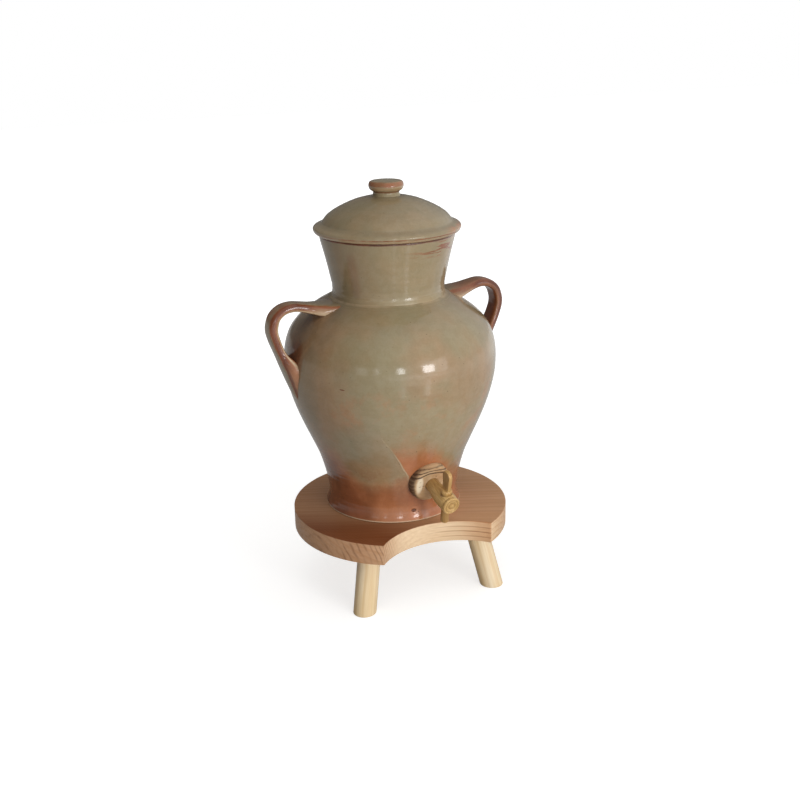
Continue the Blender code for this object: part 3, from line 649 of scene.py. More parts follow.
def make_handle(name, stations, reach, turn, drop):
    """Lay the rings, bridge them, close the ends and soften the skin."""
    only()
    count = (len(stations) - 1) * RINGS_PER_STATION + 1
    ring_size = 2 * len(STRAP) - 2
    bpy.ops.mesh.primitive_circle_add(vertices=ring_size, radius=0.01)
    handle = bpy.context.object
    handle.name = handle.data.name = name
    bpy.ops.object.mode_set(mode="EDIT")
    for i in range(1, count):
        bpy.ops.mesh.primitive_circle_add(vertices=ring_size, radius=0.01, location=(0, 0, 0.01 * i))
    bpy.ops.object.mode_set(mode="OBJECT")
    marks = {mark: [] for mark in STRAP_MARKS}
    for i in range(count):
        ring = strap_ring(stations, i / RINGS_PER_STATION, reach)
        for k, (point, deep, edge) in enumerate(ring):
            handle.data.vertices[i * ring_size + k].co = point
            for mark, value in zip(STRAP_MARKS, (edge, (1 - deep) / 2, i / (count - 1))):
                marks[mark].append(value)
    for mark, values in marks.items():
        stored = handle.data.attributes.new(mark, "FLOAT", "POINT")
        stored.data.foreach_set("value", values)
    bpy.ops.object.mode_set(mode="EDIT")
    bpy.ops.mesh.select_all(action="SELECT")
    bpy.ops.mesh.bridge_edge_loops()
    bpy.ops.mesh.select_all(action="DESELECT")
    bpy.ops.mesh.select_non_manifold()
    bpy.ops.mesh.fill_holes(sides=0)
    bpy.ops.mesh.select_all(action="SELECT")
    bpy.ops.mesh.normals_make_consistent(inside=False)
    bpy.ops.object.mode_set(mode="OBJECT")
    skin = handle.modifiers.new("soft clay", "SUBSURF")
    skin.levels = skin.render_levels = 1
    finish_modifiers(handle)
    bpy.ops.object.shade_smooth()
    return settle(handle, CROCK_FOOT - Vector((0, 0, drop)), (0, 0, HANDLE_TURN + turn))


right_handle = make_handle("right_strap", RIGHT_STATIONS, 0.1332, 0, 0)
left_handle = make_handle("left_strap", LEFT_STATIONS, 0.1358, math.pi, 0.0010)
print("handles:", len(right_handle.data.polygons), "faces each")

# %% [markdown]
# ## The lid and its knob
# The lid is a shallow dome with a rounded bead round its edge and a flange that keeps it in the neck. The
# knob is a thick disc on a short neck. Both are turned shapes with soft corners, because the clay was wet
# when they were finished.

# %% Turn the lid
LID_RADIUS, LID_RIM_HEIGHT = 0.0789, 0.0114
DOME_RADIUS, DOME_HEIGHT, LID_WALL = 0.0697, 0.0265, 0.006
KNOB_NECK_RADIUS = 0.0148
DOME = ((0, 1.030), (0.21, 1.000), (0.36, 0.930), (0.52, 0.815), (0.73, 0.574), (0.88, 0.340), (0.95, 0.175),
        (1, 0))
BEAD = ((0.22, 0.93), (0.58, 0.79), (0.80, 0.71), (0.92, 0.62), (0.985, 0.55), (1.00, 0.47), (0.99, 0.38),
        (0.95, 0.28), (0.87, 0.17), (0.76, 0.08), (0.60, 0.00))


def dome_height(radius):
    """The height of the lid's dome above its foot, at a radius, with a trace of the throwing rings."""
    ring = 0.00008 * math.sin(radius / 0.0052 * 2 * math.pi + 2 * math.sin(radius / 0.02))
    return LID_RIM_HEIGHT + DOME_HEIGHT * smooth_between(DOME, radius / DOME_RADIUS) + ring


DOME_PARTS = 40
dome = []
for i in range(DOME_PARTS):
    radius = KNOB_NECK_RADIUS + (DOME_RADIUS - KNOB_NECK_RADIUS) * math.sin(math.pi / 2 * i / DOME_PARTS)
    dome.append((radius, dome_height(radius)))
bead = [(DOME_RADIUS + (LID_RADIUS - DOME_RADIUS) * out, LID_RIM_HEIGHT * tall) for out, tall in BEAD]
FLANGE_RADIUS, FLANGE_INNER, FLANGE_END = 0.0632, 0.0582, -0.010
hollow = [(radius, dome_height(radius) - LID_WALL) for radius in (0.050, 0.040, 0.030, 0.020, 0.010, 0)]
section = [
    (0, dome[0][1]), *dome, *bead,
    (FLANGE_RADIUS, 0, 0.0010), (FLANGE_RADIUS, FLANGE_END, 0.0012), (FLANGE_INNER, FLANGE_END, 0.0012),
    (FLANGE_INNER, LID_RIM_HEIGHT - 0.004, 0.003), *hollow,
]
lid = turned("lid_dome", section, 128, LID_FOOT)

# %% Turn the knob
KNOB_RISE = 0.0382
section = [
    (0, 0.0161), (0.0105, 0.0155, 0.003), (0.0168, 0.0150, 0.0018), (0.0187, 0.0125, 0.0022),
    (0.0187, 0.0086, 0.0022), (0.0170, 0.0058, 0.0012), (0.0144, 0.0046, 0.0016), (0.0137, 0.0026, 0.0012),
    (0.0150, 0.0, 0.0008), (0.0150, -0.0006), (0, -0.0006),
]
knob = turned("knob", section, 96, LID_FOOT + Vector((0, 0, KNOB_RISE)))
print("lid and knob are turned")

# %% [markdown]
# ## The bung and the tap
# A tapered cork closes the hole. The tap is three pieces: a boxwood body driven into the cork, a key that
# turns in it, and a thin cork sleeve between them. The body and the key are turned on a lathe, and then the
# key's top is sawn flat on both sides for the thumb and finger.

# %% Cork bung
section = [
    (0.0081, 0.0083), (0.0199, 0.0083, 0.0022), (0.0227, 0.0050, 0.0024), (0.0228, 0.0),
    (0.0206, -0.0160, 0.0010), (0.0062, -0.0160), (0.0081, 0.0083),
]
bung = turned("cork_bung", section, 96, TAP_START, TAP_REST)

# %% Tap body
section = [
    (0, 0.0503), (0.0020, 0.0502, 0.0006), (0.0029, 0.0490, 0.0003), (0.0042, 0.0490, 0.0003),
    (0.0052, 0.0496, 0.0003), (0.0065, 0.0496, 0.0002), (0.0071, 0.0490, 0.0002), (0.0079, 0.0496, 0.0002),
    (0.0093, 0.0496, 0.0008), (0.0099, 0.0485, 0.0005), (0.0099, 0.0470, 0.0004), (0.0093, 0.0460, 0.0004),
    (0.0098, 0.0449, 0.0006), (0.0104, 0.0420, 0.0020), (0.0104, 0.0325, 0.0020), (0.0092, 0.0220, 0.0030),
    (0.0078, 0.0166, 0.0030), (0.0078, 0.0083), (0.0052, -0.0240, 0.0006), (0.0024, -0.0240),
    (0.0024, 0.0374), (0, 0.0374),
]
tap = turned("boxwood_tap", section, 96, TAP_START, TAP_REST)
section = [(0, 0.0144), (0.0062, 0.0144), (0.0062, 0.0086), (0.00705, 0.0080), (0.00625, -0.0144), (0, -0.0144)]
cut_away(tap, turned("key_socket", section, 64, KEY_MIDDLE, KEY_REST))
ease_edges(tap, 0.0003, 2, 60, smooth=35)

# %% Cork sleeve round the key
section = [(0.0068, 0.00778), (0.0062, -0.00778), (0.0050, -0.00778), (0.0056, 0.00778), (0.0068, 0.00778)]
sleeve = turned("cork_sleeve", section, 64, KEY_MIDDLE, KEY_REST)

# %% Key
section = [
    (0, 0.0378), (0.0040, 0.0374, 0.0015), (0.0062, 0.0346, 0.0015), (0.0066, 0.0316, 0.0020),
    (0.0056, 0.0215, 0.0020), (0.0051, 0.0145, 0.0005), (0.0060, 0.0132, 0.0007), (0.0060, 0.0092, 0.0002),
    (0.0053, 0.0091), (0.0046, -0.0107), (0.0044, -0.0119, 0.0004), (0.0044, -0.0285, 0.0004),
    (0.0025, -0.0285, 0.0003), (0.0025, 0.0025), (0, 0.0025),
]
key = turned("boxwood_key", section, 96)
FLAT_CUT, FLAT_ACROSS, FLAT_HEIGHT = (0.0066, 0.03, 0.0274), 0.0054, 0.0281
for side in (-1, 1):
    only()
    bpy.ops.mesh.primitive_cube_add(size=1, location=(side * FLAT_ACROSS, 0, FLAT_HEIGHT), scale=FLAT_CUT)
    cut_away(key, settle(bpy.context.object), "MANIFOLD")
ease_edges(key, 0.0004, 2, 45, smooth=35)
settle(key, KEY_MIDDLE, KEY_REST)
print("tap pieces are turned")

# %% [markdown]
# ## The stool
# The board is a thick disc of pine with a round bite sawn out of its front, so that a jug can stand under
# the spout. It is cut from a cylinder with another cylinder, and its edges are broken with sandpaper. The
# three legs are dowels, splayed outwards and sawn level where they stand.

# %% Board
BOARD_RADIUS, BOARD_THICKNESS, STOOL_HEIGHT = 0.120, 0.023, 0.087
NOTCH_RADIUS, NOTCH_DEPTH = 0.086, 0.0452
only()
bpy.ops.mesh.primitive_cylinder_add(
    vertices=192, radius=BOARD_RADIUS, depth=BOARD_THICKNESS,
    location=STOOL_MIDDLE + Vector((0, 0, STOOL_HEIGHT - BOARD_THICKNESS / 2)),
)
board = settle(bpy.context.object)
board.name = board.data.name = "notched_board"
notch_middle = STOOL_MIDDLE + Vector((
    0, -(BOARD_RADIUS - NOTCH_DEPTH + NOTCH_RADIUS), STOOL_HEIGHT - BOARD_THICKNESS / 2
))
only()
bpy.ops.mesh.primitive_cylinder_add(
    vertices=192, radius=NOTCH_RADIUS, depth=2 * BOARD_THICKNESS, location=notch_middle
)
cut_away(board, bpy.context.object)
ease_edges(board, 0.0011)

# %% Legs
LEG_RADIUS, LEG_LENGTH, LEG_MIDDLE = 0.0125, 0.107, 0.0285
LEG_SPREAD, LEG_SPLAY = 0.1095, math.radians(15.5)
LEG_TURNS = (("front_left", math.radians(-44.7)), ("front_right", math.radians(44.7)), ("back", math.pi))
legs = {}


def foot_of(turn):
    """Where a leg stands on the floor."""
    return STOOL_MIDDLE + LEG_SPREAD * Vector((math.sin(turn), -math.cos(turn), 0))


for name, turn in LEG_TURNS:
    only()
    bpy.ops.mesh.primitive_cylinder_add(
        vertices=64, radius=LEG_RADIUS, depth=LEG_LENGTH, location=(0, 0, LEG_MIDDLE)
    )
    leg = bpy.context.object
    leg.name = leg.data.name = name + "_dowel"
    settle(leg)
    settle(leg, foot_of(turn), (-LEG_SPLAY, 0, turn))
    bpy.ops.object.mode_set(mode="EDIT")
    bpy.ops.mesh.select_all(action="SELECT")
    bpy.ops.mesh.bisect(plane_co=(0, 0, 0), plane_no=(0, 0, 1), use_fill=True, clear_inner=True)
    bpy.ops.object.mode_set(mode="OBJECT")
    ease_edges(leg, 0.0010)
    legs[name] = leg
print("legs:", sorted(legs))

# %% [markdown]
# ## Finding the way on a round pot
# A potter describes a place on a pot by how far round it is and how high. This group turns a place on the
# object into these two numbers: the angle in degrees from the front, positive to the right, and the height
# above the crock's foot. Every glaze mark below is laid out with them.

# %% Group: place on the pot
pot_place, given, result = new_group(
    "place_on_pot", [("Position", "Vector", (0, 0, 0))], [("Angle", "Float"), ("Height", "Float")]
)
across, forward, tall = axes_of(seen_from(given["Position"], CROCK_FOOT))
turn = calc("ARCTAN2", across, forward * -1.0)
send(turn * math.degrees(1), result["Angle"])
send(tall, result["Height"])


def patch(first, second, middle, reach, soft=0.5):
    """A soft oval patch in two numbers: 1 in its middle and 0 outside its reach."""
    away = length_of((first - middle[0]) / reach[0], (second - middle[1]) / reach[1])
    return fade_out(away, 1.0 - soft, 1.0)


def in_front(angle):
    """1 at the front and on both sides, and 0 before the two sides meet at the back."""
    return fade_out(abs(angle), 105.0, 160.0)


print("groups:", [group.name for group in bpy.data.node_groups])

# %% [markdown]
# ## The glaze
# The pot is covered with an ash glaze. It is olive-grey where it lies thick, greyer where it ran, and turns
# orange where the flame touched it. On every sharp edge it runs thin, and the iron in the clay shows as rust.
# One group mixes these from four amounts, so the crock, the lid, the knob and the handles share one glaze and
# each says only where it is thick, touched by flame, or thin. Iron specks come from small random cells.

# %% Group: ash glaze
ash_glaze, given, result = new_group(
    "ash_glaze",
    [("Position", "Vector", (0, 0, 0)), ("Grey", "Float", 0.0), ("Flame", "Float", 0.0),
     ("Thin", "Float", 0.0), ("Pale", "Float", 0.0), ("Dark", "Float", 0.0), ("Specks", "Float", 1.0),
     ("Matt", "Float", 0.0)],
    [("Color", "Color"), ("Roughness", "Float"), ("Relief", "Float")],
)
spot = given["Position"]
cloud = fade(noise(spot, 16, 4, 0.55), 0.36, 0.66)
drift = fade(noise(mapped(spot, Scale=(1, 1, 0.35)), 42, 3, 0.5, 0.4), 0.36, 0.68)
grain = noise(spot, 520, 3, 0.6)
cell = put_all("TexVoronoi", {"Vector": spot, "Scale": 190})
cell_pick = axes_of(cell["Color"])
iron = fade_out(cell["Distance"], 0.05, 0.16) * fade(cell_pick[0], 0.77, 0.81) * given["Specks"]
blister = fade_out(cell["Distance"], 0.04, 0.13) * fade(cell_pick[1], 0.88, 0.92) * given["Specks"]
glaze_colour = coats(
    mix(cloud, shade(151, 138, 107), shade(158, 139, 107)),
    (drift * 0.35, shade(144, 135, 108)),
    (given["Grey"], shade(147, 137, 111)),
    (given["Flame"], mix(drift, shade(192, 120, 79), shade(174, 104, 64))),
    (given["Thin"], mix(drift, shade(128, 68, 40), shade(104, 54, 32))),
    # Pale is partly painted highlight and reflection, and Dark is mostly painted shadow, as the marks below use
    # them
    (given["Pale"], shade(222, 198, 166)),
    (given["Dark"], shade(62, 37, 24)),
    (iron * 0.72, shade(74, 48, 30)),
    (blister * 0.45, shade(206, 188, 150)),
)
glaze_colour = tinted(glaze_colour, fade(grain, 0.25, 0.75), shade(248, 248, 247))
mottle = fade(noise(spot, 88, 4, 0.6, 0.3), 0.34, 0.66)
send(tinted(glaze_colour, mottle, shade(247, 244, 238)), result["Color"])
send(fade(noise(spot, 60, 3), 0.3, 0.7, 0.11, 0.17) + given["Matt"] * 0.25, result["Roughness"])
skin = noise(spot, 150, 2) * 0.6 + grain * 0.04
send(skin - iron * 0.3 + blister * 0.3, result["Relief"])
print("the glaze group is ready")


# %% Wear a glaze
def glaze_on(name, amounts_for):
    """Make a glazed finish. The given function says where the glaze is grey, flamed, thin or pale."""
    material, sockets, place = new_finish(name, roughness=0.15, ior=1.52)
    where = use_group(pot_place, {"Position": place})
    amounts = amounts_for(place, where["Angle"], where["Height"])
    relief = amounts.pop("Relief", None)
    look = use_group(ash_glaze, {"Position": place, **amounts})
    send(look["Color"], sockets["Base Color"])
    send(look["Roughness"], sockets["Roughness"])
    bump(sockets, look["Relief"] + relief if relief else look["Relief"], 0.00016, 0.55)
    return material


print("glazes can be worn")

# %% [markdown]
# ## Marks on the crock
# The tap side was licked by the flame: an orange patch with a ragged top lies above the bung. To its left a
# ridge of glaze ran down and stopped, and left of that the glaze is thick and grey. The foot is rust-brown,
# because glaze was wiped thin there. Under the rim the glaze broke into orange streaks. Painted light is laid in
# too: painted shade on the left and the sides, a little painted light on the lower front, painted shadow in the
# gap under the lid, painted reflection of the stool round the waist, and a painted highlight on the neck crease.

# %% Crock finish
def crock_marks(place, angle, height):
    front = in_front(angle)
    left = fade_out(angle, -80.0, -38.0) * front
    # Painted shade: sides makes the glaze a little darker towards both sides of the pot
    sides = fade(abs(angle), 24.0, 68.0) * front
    wander = noise(place, 55, 4, 0.6) - 0.5
    slow = noise(place, 13, 3, 0.5) - 0.5
    edge = height + wander * 0.022
    # The run of glaze: it leans to the left on its way up
    lean = {"Value": height, "From Min": 0.0555, "From Max": 0.107, "To Min": -11.0, "To Max": -28.5}
    beside = angle - put("MapRange", lean) + wander * 3.0
    # The flame's patch: highest near the run and lower to the right, with a ragged top
    patch_top = edge + slow * 0.03 - fade(angle, -6.0, 27.0, 0.0, -0.030)
    flame = fade(beside, -0.5, 1.6) * fade_out(angle, 17.0, 34.0) * fade(patch_top, 0.078, 0.108, 0.88, 0.0)
    tongues = band(edge, 0.100, 0.150, 0.016) * fade(slow, -0.02, 0.14, 0.0, 0.30) * band(angle, -16, 45, 14)
    # The foot: wiped thin, more at the left, with a dark band of painted reflection round the waist
    foot_top = fade(left, 0.0, 1.0, 0.050, 0.080)
    above_foot = edge + slow * 0.02 - foot_top
    cloudy = fade(noise(place, 48, 4, 0.65), 0.44, 0.62) * band(height, 0.040, 0.062, 0.014)
    foot = fade_out(above_foot, -0.026, 0.020)
    foot_deep = fade_out(above_foot, -0.040, -0.004)
    # Painted reflection: a dark band round the concave waist, where it mirrors the stool
    waist_painted_reflection = band(edge, 0.020, 0.043, 0.008) * fade(slow, -0.1, 0.1, 0.35, 0.55)
    # Painted shade: the left shoulder is darkened brown
    left_shoulder_painted_shade = left * fade(height, 0.165, 0.200) * fade_out(height, 0.232, 0.240)
    # Painted reflection: a brown band on the left of the neck
    neck_painted_reflection = band(angle, -62.0, -50.0, 5.0) * band(height, 0.244, 0.295, 0.008)
    back_side = fade(abs(angle), 60.0, 110.0)
    foot_rust = foot_deep * any_of(fade_out(angle, -52.0, -28.0), back_side)
    # The rim: rust where the glaze broke, darkened by painted shadow in the gap under the lid
    rim = fade(height + wander * 0.002, 0.3030, 0.3042)
    streaky = fade(noise(mapped(place, Scale=(1, 1, 9.0)), 34, 4, 0.6), 0.50, 0.58)
    streaks = streaky * band(height, 0.2880, 0.3025, 0.003) * (fade(angle, -12.0, 28.0) * front)
    # The left handle's root: a dark red-brown patch, with painted shadow laid over it
    left_root = patch(angle, height, (-83.0, 0.186), (12.0, 0.030), 0.7)
    blotches = fade(noise(place, 34, 4, 0.62), 0.50, 0.66)
    warm = any_of(fade(slow, -0.04, 0.14) * 0.20, blotches * band(height, 0.095, 0.160, 0.02) * 0.30)
    warm = warm * band(angle, -70, 60, 20) * fade(height, 0.215, 0.240, 1.0, 0.15)
    grey = fade_out(beside, -1.5, 0.5) * fade(angle, -70.0, -45.0) * fade(edge, 0.055, 0.085)
    grey *= fade_out(height, 0.105, 0.150)
    unbroken = any_of(fade_out(height, 0.080, 0.092), fade(noise(place, 120, 2), 0.45, 0.60, 0.1, 0.7))
    ridge = band(beside, -0.55, 0.45, 0.4) * band(height, 0.052, 0.112, 0.008) * unbroken
    drip = patch(angle, height, (-5.0, 0.0120), (3.0, 0.0025), 0.6)
    # Painted light: the lower front of the belly is made a little paler
    lower_front_painted_light = band(height, 0.075, 0.150, 0.02) * fade(angle, -50.0, -25.0) * (front - flame)
    # Painted shade: the left of the belly is darkened
    left_belly_painted_shade = left * band(edge, 0.070, 0.160, 0.02)
    thrown = noise(mapped(place, Scale=(0.04, 0.04, 1)), 190, 2)
    # Painted highlight: a pale line along the crease under the neck
    crease = band(height, 0.2376, 0.2392, 0.0006) * fade(noise(place, 60, 2), 0.35, 0.6, 0.05, 0.30)
    scratch = (angle + 48.0) * 0.00012 + height
    mark = patch(angle, scratch, (-48.0, 0.1633), (1.9, 0.0008), 0.5)
    # The bottom edge is pale: bare clay of the foot ring, with a painted highlight along it
    bottom = fade_out(height, 0.0012, 0.0022)
    thin = any_of(foot_rust * 0.72, waist_painted_reflection, rim * 0.95, left_shoulder_painted_shade * 0.42, neck_painted_reflection * 0.34, left_root * 0.72,
                  mark, streaks * 0.80, cloudy * 0.32, drip, left_belly_painted_shade * 0.22, foot_deep * 0.06, sides * 0.16)
    return {
        "Grey": grey * 0.85,
        "Flame": any_of(flame, tongues, foot * 0.82, streaks * 0.5, warm, left_root * 0.15, rim * 0.6),
        "Thin": thin,
        "Pale": any_of(ridge * 0.38, crease, bottom * 0.8, lower_front_painted_light * 0.13),
        # Dark: painted shadow under the lid and on the left root, a dark drip, and a painted reflection of the
        # stool low on the left
        "Dark": any_of(rim * fade(noise(place, 40, 3), 0.40, 0.60, 0.20, 0.75), drip * 0.5, left_root * 0.22,
                       left * band(edge, 0.040, 0.070, 0.012) * 0.28),
        "Specks": fade(any_of(flame, tongues), 0.0, 0.5, 0.55, 1.0),
        "Matt": band(height, 0.2360, 0.2440, 0.0020),
        "Relief": ridge * 1.6 + drip * -9.0 + thrown,
    }


place_on(crock, "crock", "crock_body", glaze_on("crock_glaze", crock_marks))

# %% [markdown]
# ## Marks on the lid and the knob
# The lid is the same glaze. On its bead the glaze broke to an orange line just under the widest place, and the
# turned-in underside stays pale. The lip has painted shadow where it sits on the rim, and the left of the bead a
# painted reflection. The knob has a grey top, an orange upper edge and a tan lower edge, with painted shadow on
# its neck under the disc.

# %% Lid and knob finishes
def lid_marks(place, angle, height):
    level = height + (noise(place, 60, 3, 0.6) - 0.5) * 0.0016
    line = band(level, 0.3091, 0.3100, 0.0005) * fade(noise(place, 22, 2), 0.32, 0.55, 0.45, 1.0)
    line *= fade(noise(place, 140, 2), 0.35, 0.55, 0.35, 1.0)
    under = band(level, 0.3040, 0.3084, 0.0008)
    # The lip: rust on the edge, darkened by painted shadow where the lid sits on the rim
    lip = fade_out(height, 0.3055, 0.3063)
    crease = band(height, 0.3172, 0.3185, 0.0012)
    bead = band(height, 0.3062, 0.3150, 0.0015) * in_front(angle)
    # Painted reflection: the left of the bead is made paler
    left_bead_painted_reflection = bead * fade_out(angle, -75.0, -40.0)
    right_bead = bead * fade(angle, 22.0, 50.0) * fade(noise(mapped(place, Scale=(1, 1, 3)), 60, 3), 0.36, 0.58)
    return {
        "Grey": any_of(crease * 0.7, 0.15),
        "Flame": any_of(line * 0.7, under * 0.20, right_bead * 0.70),
        "Thin": any_of(line * 0.85, lip * 0.95, 0.09),
        "Dark": lip * 0.40,
        "Pale": any_of(under * 0.30, left_bead_painted_reflection * 0.20),
        "Specks": 0.35,
    }


def knob_marks(place, angle, height):
    wander = noise(place, 110, 3, 0.6) - 0.5
    level = height + wander * 0.0022
    upper = band(level, 0.3541, 0.3588, 0.0009)
    lower = band(level, 0.3500, 0.3538, 0.0009)
    top = fade(level, 0.3588, 0.3600)
    # Painted shadow: a dark band on the neck under the disc
    under = band(height, 0.3476, 0.3496, 0.0006)
    return {
        "Grey": top * 0.8,
        "Flame": any_of(upper * fade(wander, -0.10, 0.14, 0.45, 0.80), lower * 0.22),
        "Thin": any_of(under * 0.7, upper * 0.42),
        "Pale": any_of(lower * 0.05, top * 0.16),
        "Specks": 0.5,
    }


place_on(lid, "lid", "lid", glaze_on("lid_glaze", lid_marks))
place_on(knob, "lid", "lid_knob", glaze_on("knob_glaze", knob_marks))

# %% [markdown]
# ## Marks on the handles
# A strap has four faces and four edges, and the glaze did something else on each: it stays grey on the outer
# face, breaks to rust on the edges, and turns orange on the narrow sides. So every point of the strap carries
# three numbers that were stored while it was lofted: how much of an edge it is, how far it faces inwards, and
# how far along the handle it lies. The finish reads them back as attributes.

# %% Handle finish
def strap_marks(place, angle, height, bright_edge=0.75, browned=0.0):
    arris, inward, along = (
        put("Attribute", {}, output="Fac", tree=place.tree, attribute_name=mark) for mark in STRAP_MARKS
    )
    wander = noise(place, 75, 3, 0.6) - 0.5
    across = inward + wander * 0.22 + band(along, 0.24, 0.50, 0.10) * 0.11
    outer_edge = band(across, 0.13, 0.38, 0.07)
    side = band(across, 0.26, 0.80, 0.07)
    inner_edge = band(inward, 0.76, 0.88, 0.04)
    inner = fade(across, 0.86, 0.95)
    upper_root = fade_out(along, 0.10, 0.26)
    lower_root = fade(along, 0.72, 0.84)
    side_flame = side * fade(upper_root, 0.0, 1.0, 0.80, 0.35)
    pale_edge = inner_edge * fade(lower_root, 0.0, 1.0, bright_edge, 0.10)
    # Rust: deep on the outer half of each side, and gone where the strap lands
    rust = side * fade(across, 0.48, 0.84, 1.0, 0.38) * fade(along, 0.72, 0.84, 1.0, 0.25)
    rust *= fade(upper_root, 0.0, 1.0, 1.0, 0.25)
    ledge = lower_root * fade(across, 0.60, 0.78) * 0.45
    outer_brown = fade(across, 0.0, 0.25, browned, browned + 0.15) * band(along, 0.08, 0.95, 0.06)
    return {
        "Grey": fade(across, 0.05, 0.2, 0.7, 0.0) * 0.8,
        "Flame": any_of(side_flame, outer_edge * 0.8, inner, outer_brown * 0.8,
                        fade(wander, 0.0, 0.2, 0.10, 0.30)),
        "Thin": any_of(outer_edge * fade(upper_root, 0.0, 1.0, 0.95, 0.60), rust, ledge,
                       inner * fade(upper_root, 0.0, 1.0, 0.80, 0.2), arris * 0.15, outer_brown * 0.85),
        "Pale": any_of(pale_edge, lower_root * (side * 0.12), upper_root * fade(across, 0.45, 0.8, 0.0, 0.6)),
        "Dark": any_of(rust * 0.26, outer_brown * 0.24),
        "Specks": 0.3,
    }


def right_strap_marks(place, angle, height):
    """The flame came from the right, so this handle is browner and its edges show less."""
    return strap_marks(place, angle, height, bright_edge=0.05, browned=0.55)


place_on(left_handle, "crock", "left_handle", glaze_on("left_strap_glaze", strap_marks))
place_on(right_handle, "crock", "right_handle", glaze_on("right_strap_glaze", right_strap_marks))

# %% [markdown]
# ## Wood
# All the wood grew the same way: rings round the middle of a tree, stretched along it. One group makes rings
# round an axis and adds fine fibres along it. Cutting a board or a dowel out of that block gives the right
# lines on every face by itself: long lines on top, arches where the cut is slanting, and short strokes on the
# ends. Position must come in with the tree's length along Z.

# %% Group: grown wood
grown_wood, given, result = new_group(
    "grown_wood",
    [("Position", "Vector", (0, 0, 0)), ("Ring Width", "Float", 0.005), ("Wander", "Float", 0.004),
     ("Fibres", "Float", 500.0)],
    [("Late Wood", "Float"), ("Fibre", "Float")],
)
spot = given["Position"]
bend = noise(mapped(spot, Scale=(1, 1, 0.28)), 14, 2, 0.4)
x, y, _ = axes_of(spot)
swayed = length_of(x, y) + (bend - 0.5) * (given["Wander"] * 6.0)
years = calc("FRACT", swayed / given["Ring Width"])
send(fade(years, 0.45, 0.90) * fade_out(years, 0.93, 1.0), result["Late Wood"])
send(noise(mapped(spot, Scale=(1, 1, 0.02)), given["Fibres"]), result["Fibre"])


def wood_at(position, ring_width, wander, fibres):
    """The late wood and the fibres at a place whose Z runs along the tree."""
    wood = use_group(grown_wood, {"Position": position, "Ring Width": ring_width, "Wander": wander,
                                  "Fibres": fibres})
    return wood["Late Wood"], fade(wood["Fibre"], 0.3, 0.7)


print("the wood group is ready")

# %% [markdown]
# The board is oiled on top, and the oil darkened it to orange-brown. It is darker still at the front left and on
# the left of the top, which is painted reflection of the pot and painted shade by its foot. The sawn rim and the
# notch took less oil and stay pale, with painted shade on the left of the rim. The tree lay along the board from
# left to right, with its heart below the notch.

# %% Board finish
BOARD_GRAIN_TURN = math.radians(-22.0)
material, sockets, place = new_finish("oiled_pine", roughness=0.42)
sockets["Specular IOR Level"].default_value = 0.3
centred = mapped(place, Location=(-0.020, 0.082, -0.030))
turned_flat = mapped(centred, Rotation=(0, 0, -BOARD_GRAIN_TURN))
stood_up = mapped(turned_flat, Rotation=(0, math.radians(90), 0))
late_wood, fibre = wood_at(stood_up, 0.0062, 0.0016, 420.0)
side_x, side_y, tall = axes_of(place)
stain = noise(mapped(turned_flat, Scale=(0.35, 1, 1)), 14, 3, 0.5)
top_face = fade(tall, 0.0861, 0.0868)
to_front_left = side_x * -0.75 + side_y * -0.66
to_front = side_x * -0.60 + side_y * -0.80
# Painted reflection of the pot and painted shade by its foot darken the front left of the top, and painted shade
# the left of the top
pot_reflection_and_shade = fade(to_front + (stain - 0.5) * 0.05, 0.032, 0.102)
top_colour = coats(
    mix(fade(stain, 0.35, 0.7), shade(206, 160, 120), shade(194, 147, 107)),
    (pot_reflection_and_shade * 0.97, shade(112, 55, 19)),
    (fade(side_x, -0.100, -0.010, 0.45, 0.0), shade(150, 96, 62)),
)
# Painted shade on the left of the sawn rim
left_rim_painted_shade = fade_out(side_x, -0.080, -0.015)
side_colour = mix(fade(stain, 0.3, 0.7), shade(238, 212, 178), shade(228, 194, 154))
side_colour = mix(left_rim_painted_shade * 0.8, side_colour, shade(184, 132, 94))
late_colour = mix(top_face, shade(184, 130, 84), shade(140, 84, 46))
strength = fade(top_face, 0.0, 1.0, 0.30, 0.14)
from_notch = length_of(*axes_of(seen_from(place, notch_middle))[:2])
notch_face = fade_out(from_notch, NOTCH_RADIUS + 0.0006, NOTCH_RADIUS + 0.0020)
strength *= fade(notch_face, 0.0, 1.0, 1.0, 0.35)
# Three dark rings run along the right part of the notch
wavy = tall + (stain - 0.5) * 0.004
rings = any_of(band(wavy, 0.0803, 0.0812, 0.0005) * 0.8, band(wavy, 0.0748, 0.0758, 0.0006),
               band(wavy, 0.0691, 0.0700, 0.0006) * 0.8)
rings = rings * notch_face * fade(side_x, -0.010, 0.050)
right_end = fade(side_x, 0.060, 0.092) * (1.0 - top_face)
notch_end = notch_face * fade(side_x, 0.030, 0.070, 0.0, 0.5)
# Where a branch grew, at the front left, the rings turn steep and dark
bent = (noise(place, 24, 2) - 0.5) * 0.011
steep = calc("FRACT", (dot(place, (0.97, 0.25, 0.31)) + bent) / 0.0036)
near_branch = fade(to_front_left + stain * 0.02, 0.092, 0.122)
broken = fade(noise(place, 55, 2), 0.40, 0.60, 0.25, 1.0)
streaks = band(steep, 0.35, 0.62, 0.16) * (near_branch * broken)
colour = coats(
    mix(top_face, side_colour, top_colour),
    (late_wood * strength, late_colour),
    (right_end * 0.40, shade(176, 116, 70)),
    (notch_end, shade(200, 132, 78)),
    (rings * 0.75, shade(150, 88, 48)),
    (streaks * 0.50, shade(112, 62, 32)),
)
send(tinted(colour, fibre, shade(246, 243, 238)), sockets["Base Color"])
send(fade(fibre, 0.0, 1.0, 0.50, 0.38), sockets["Roughness"])
bump(sockets, fibre + late_wood, 0.00012, 0.4)
place_on(board, "stool", "stool_board", material)

# %% [markdown]
# The legs are bought dowels of pale pine, sanded and left plain. The wood group is placed along each leg, so
# the lines run down it.

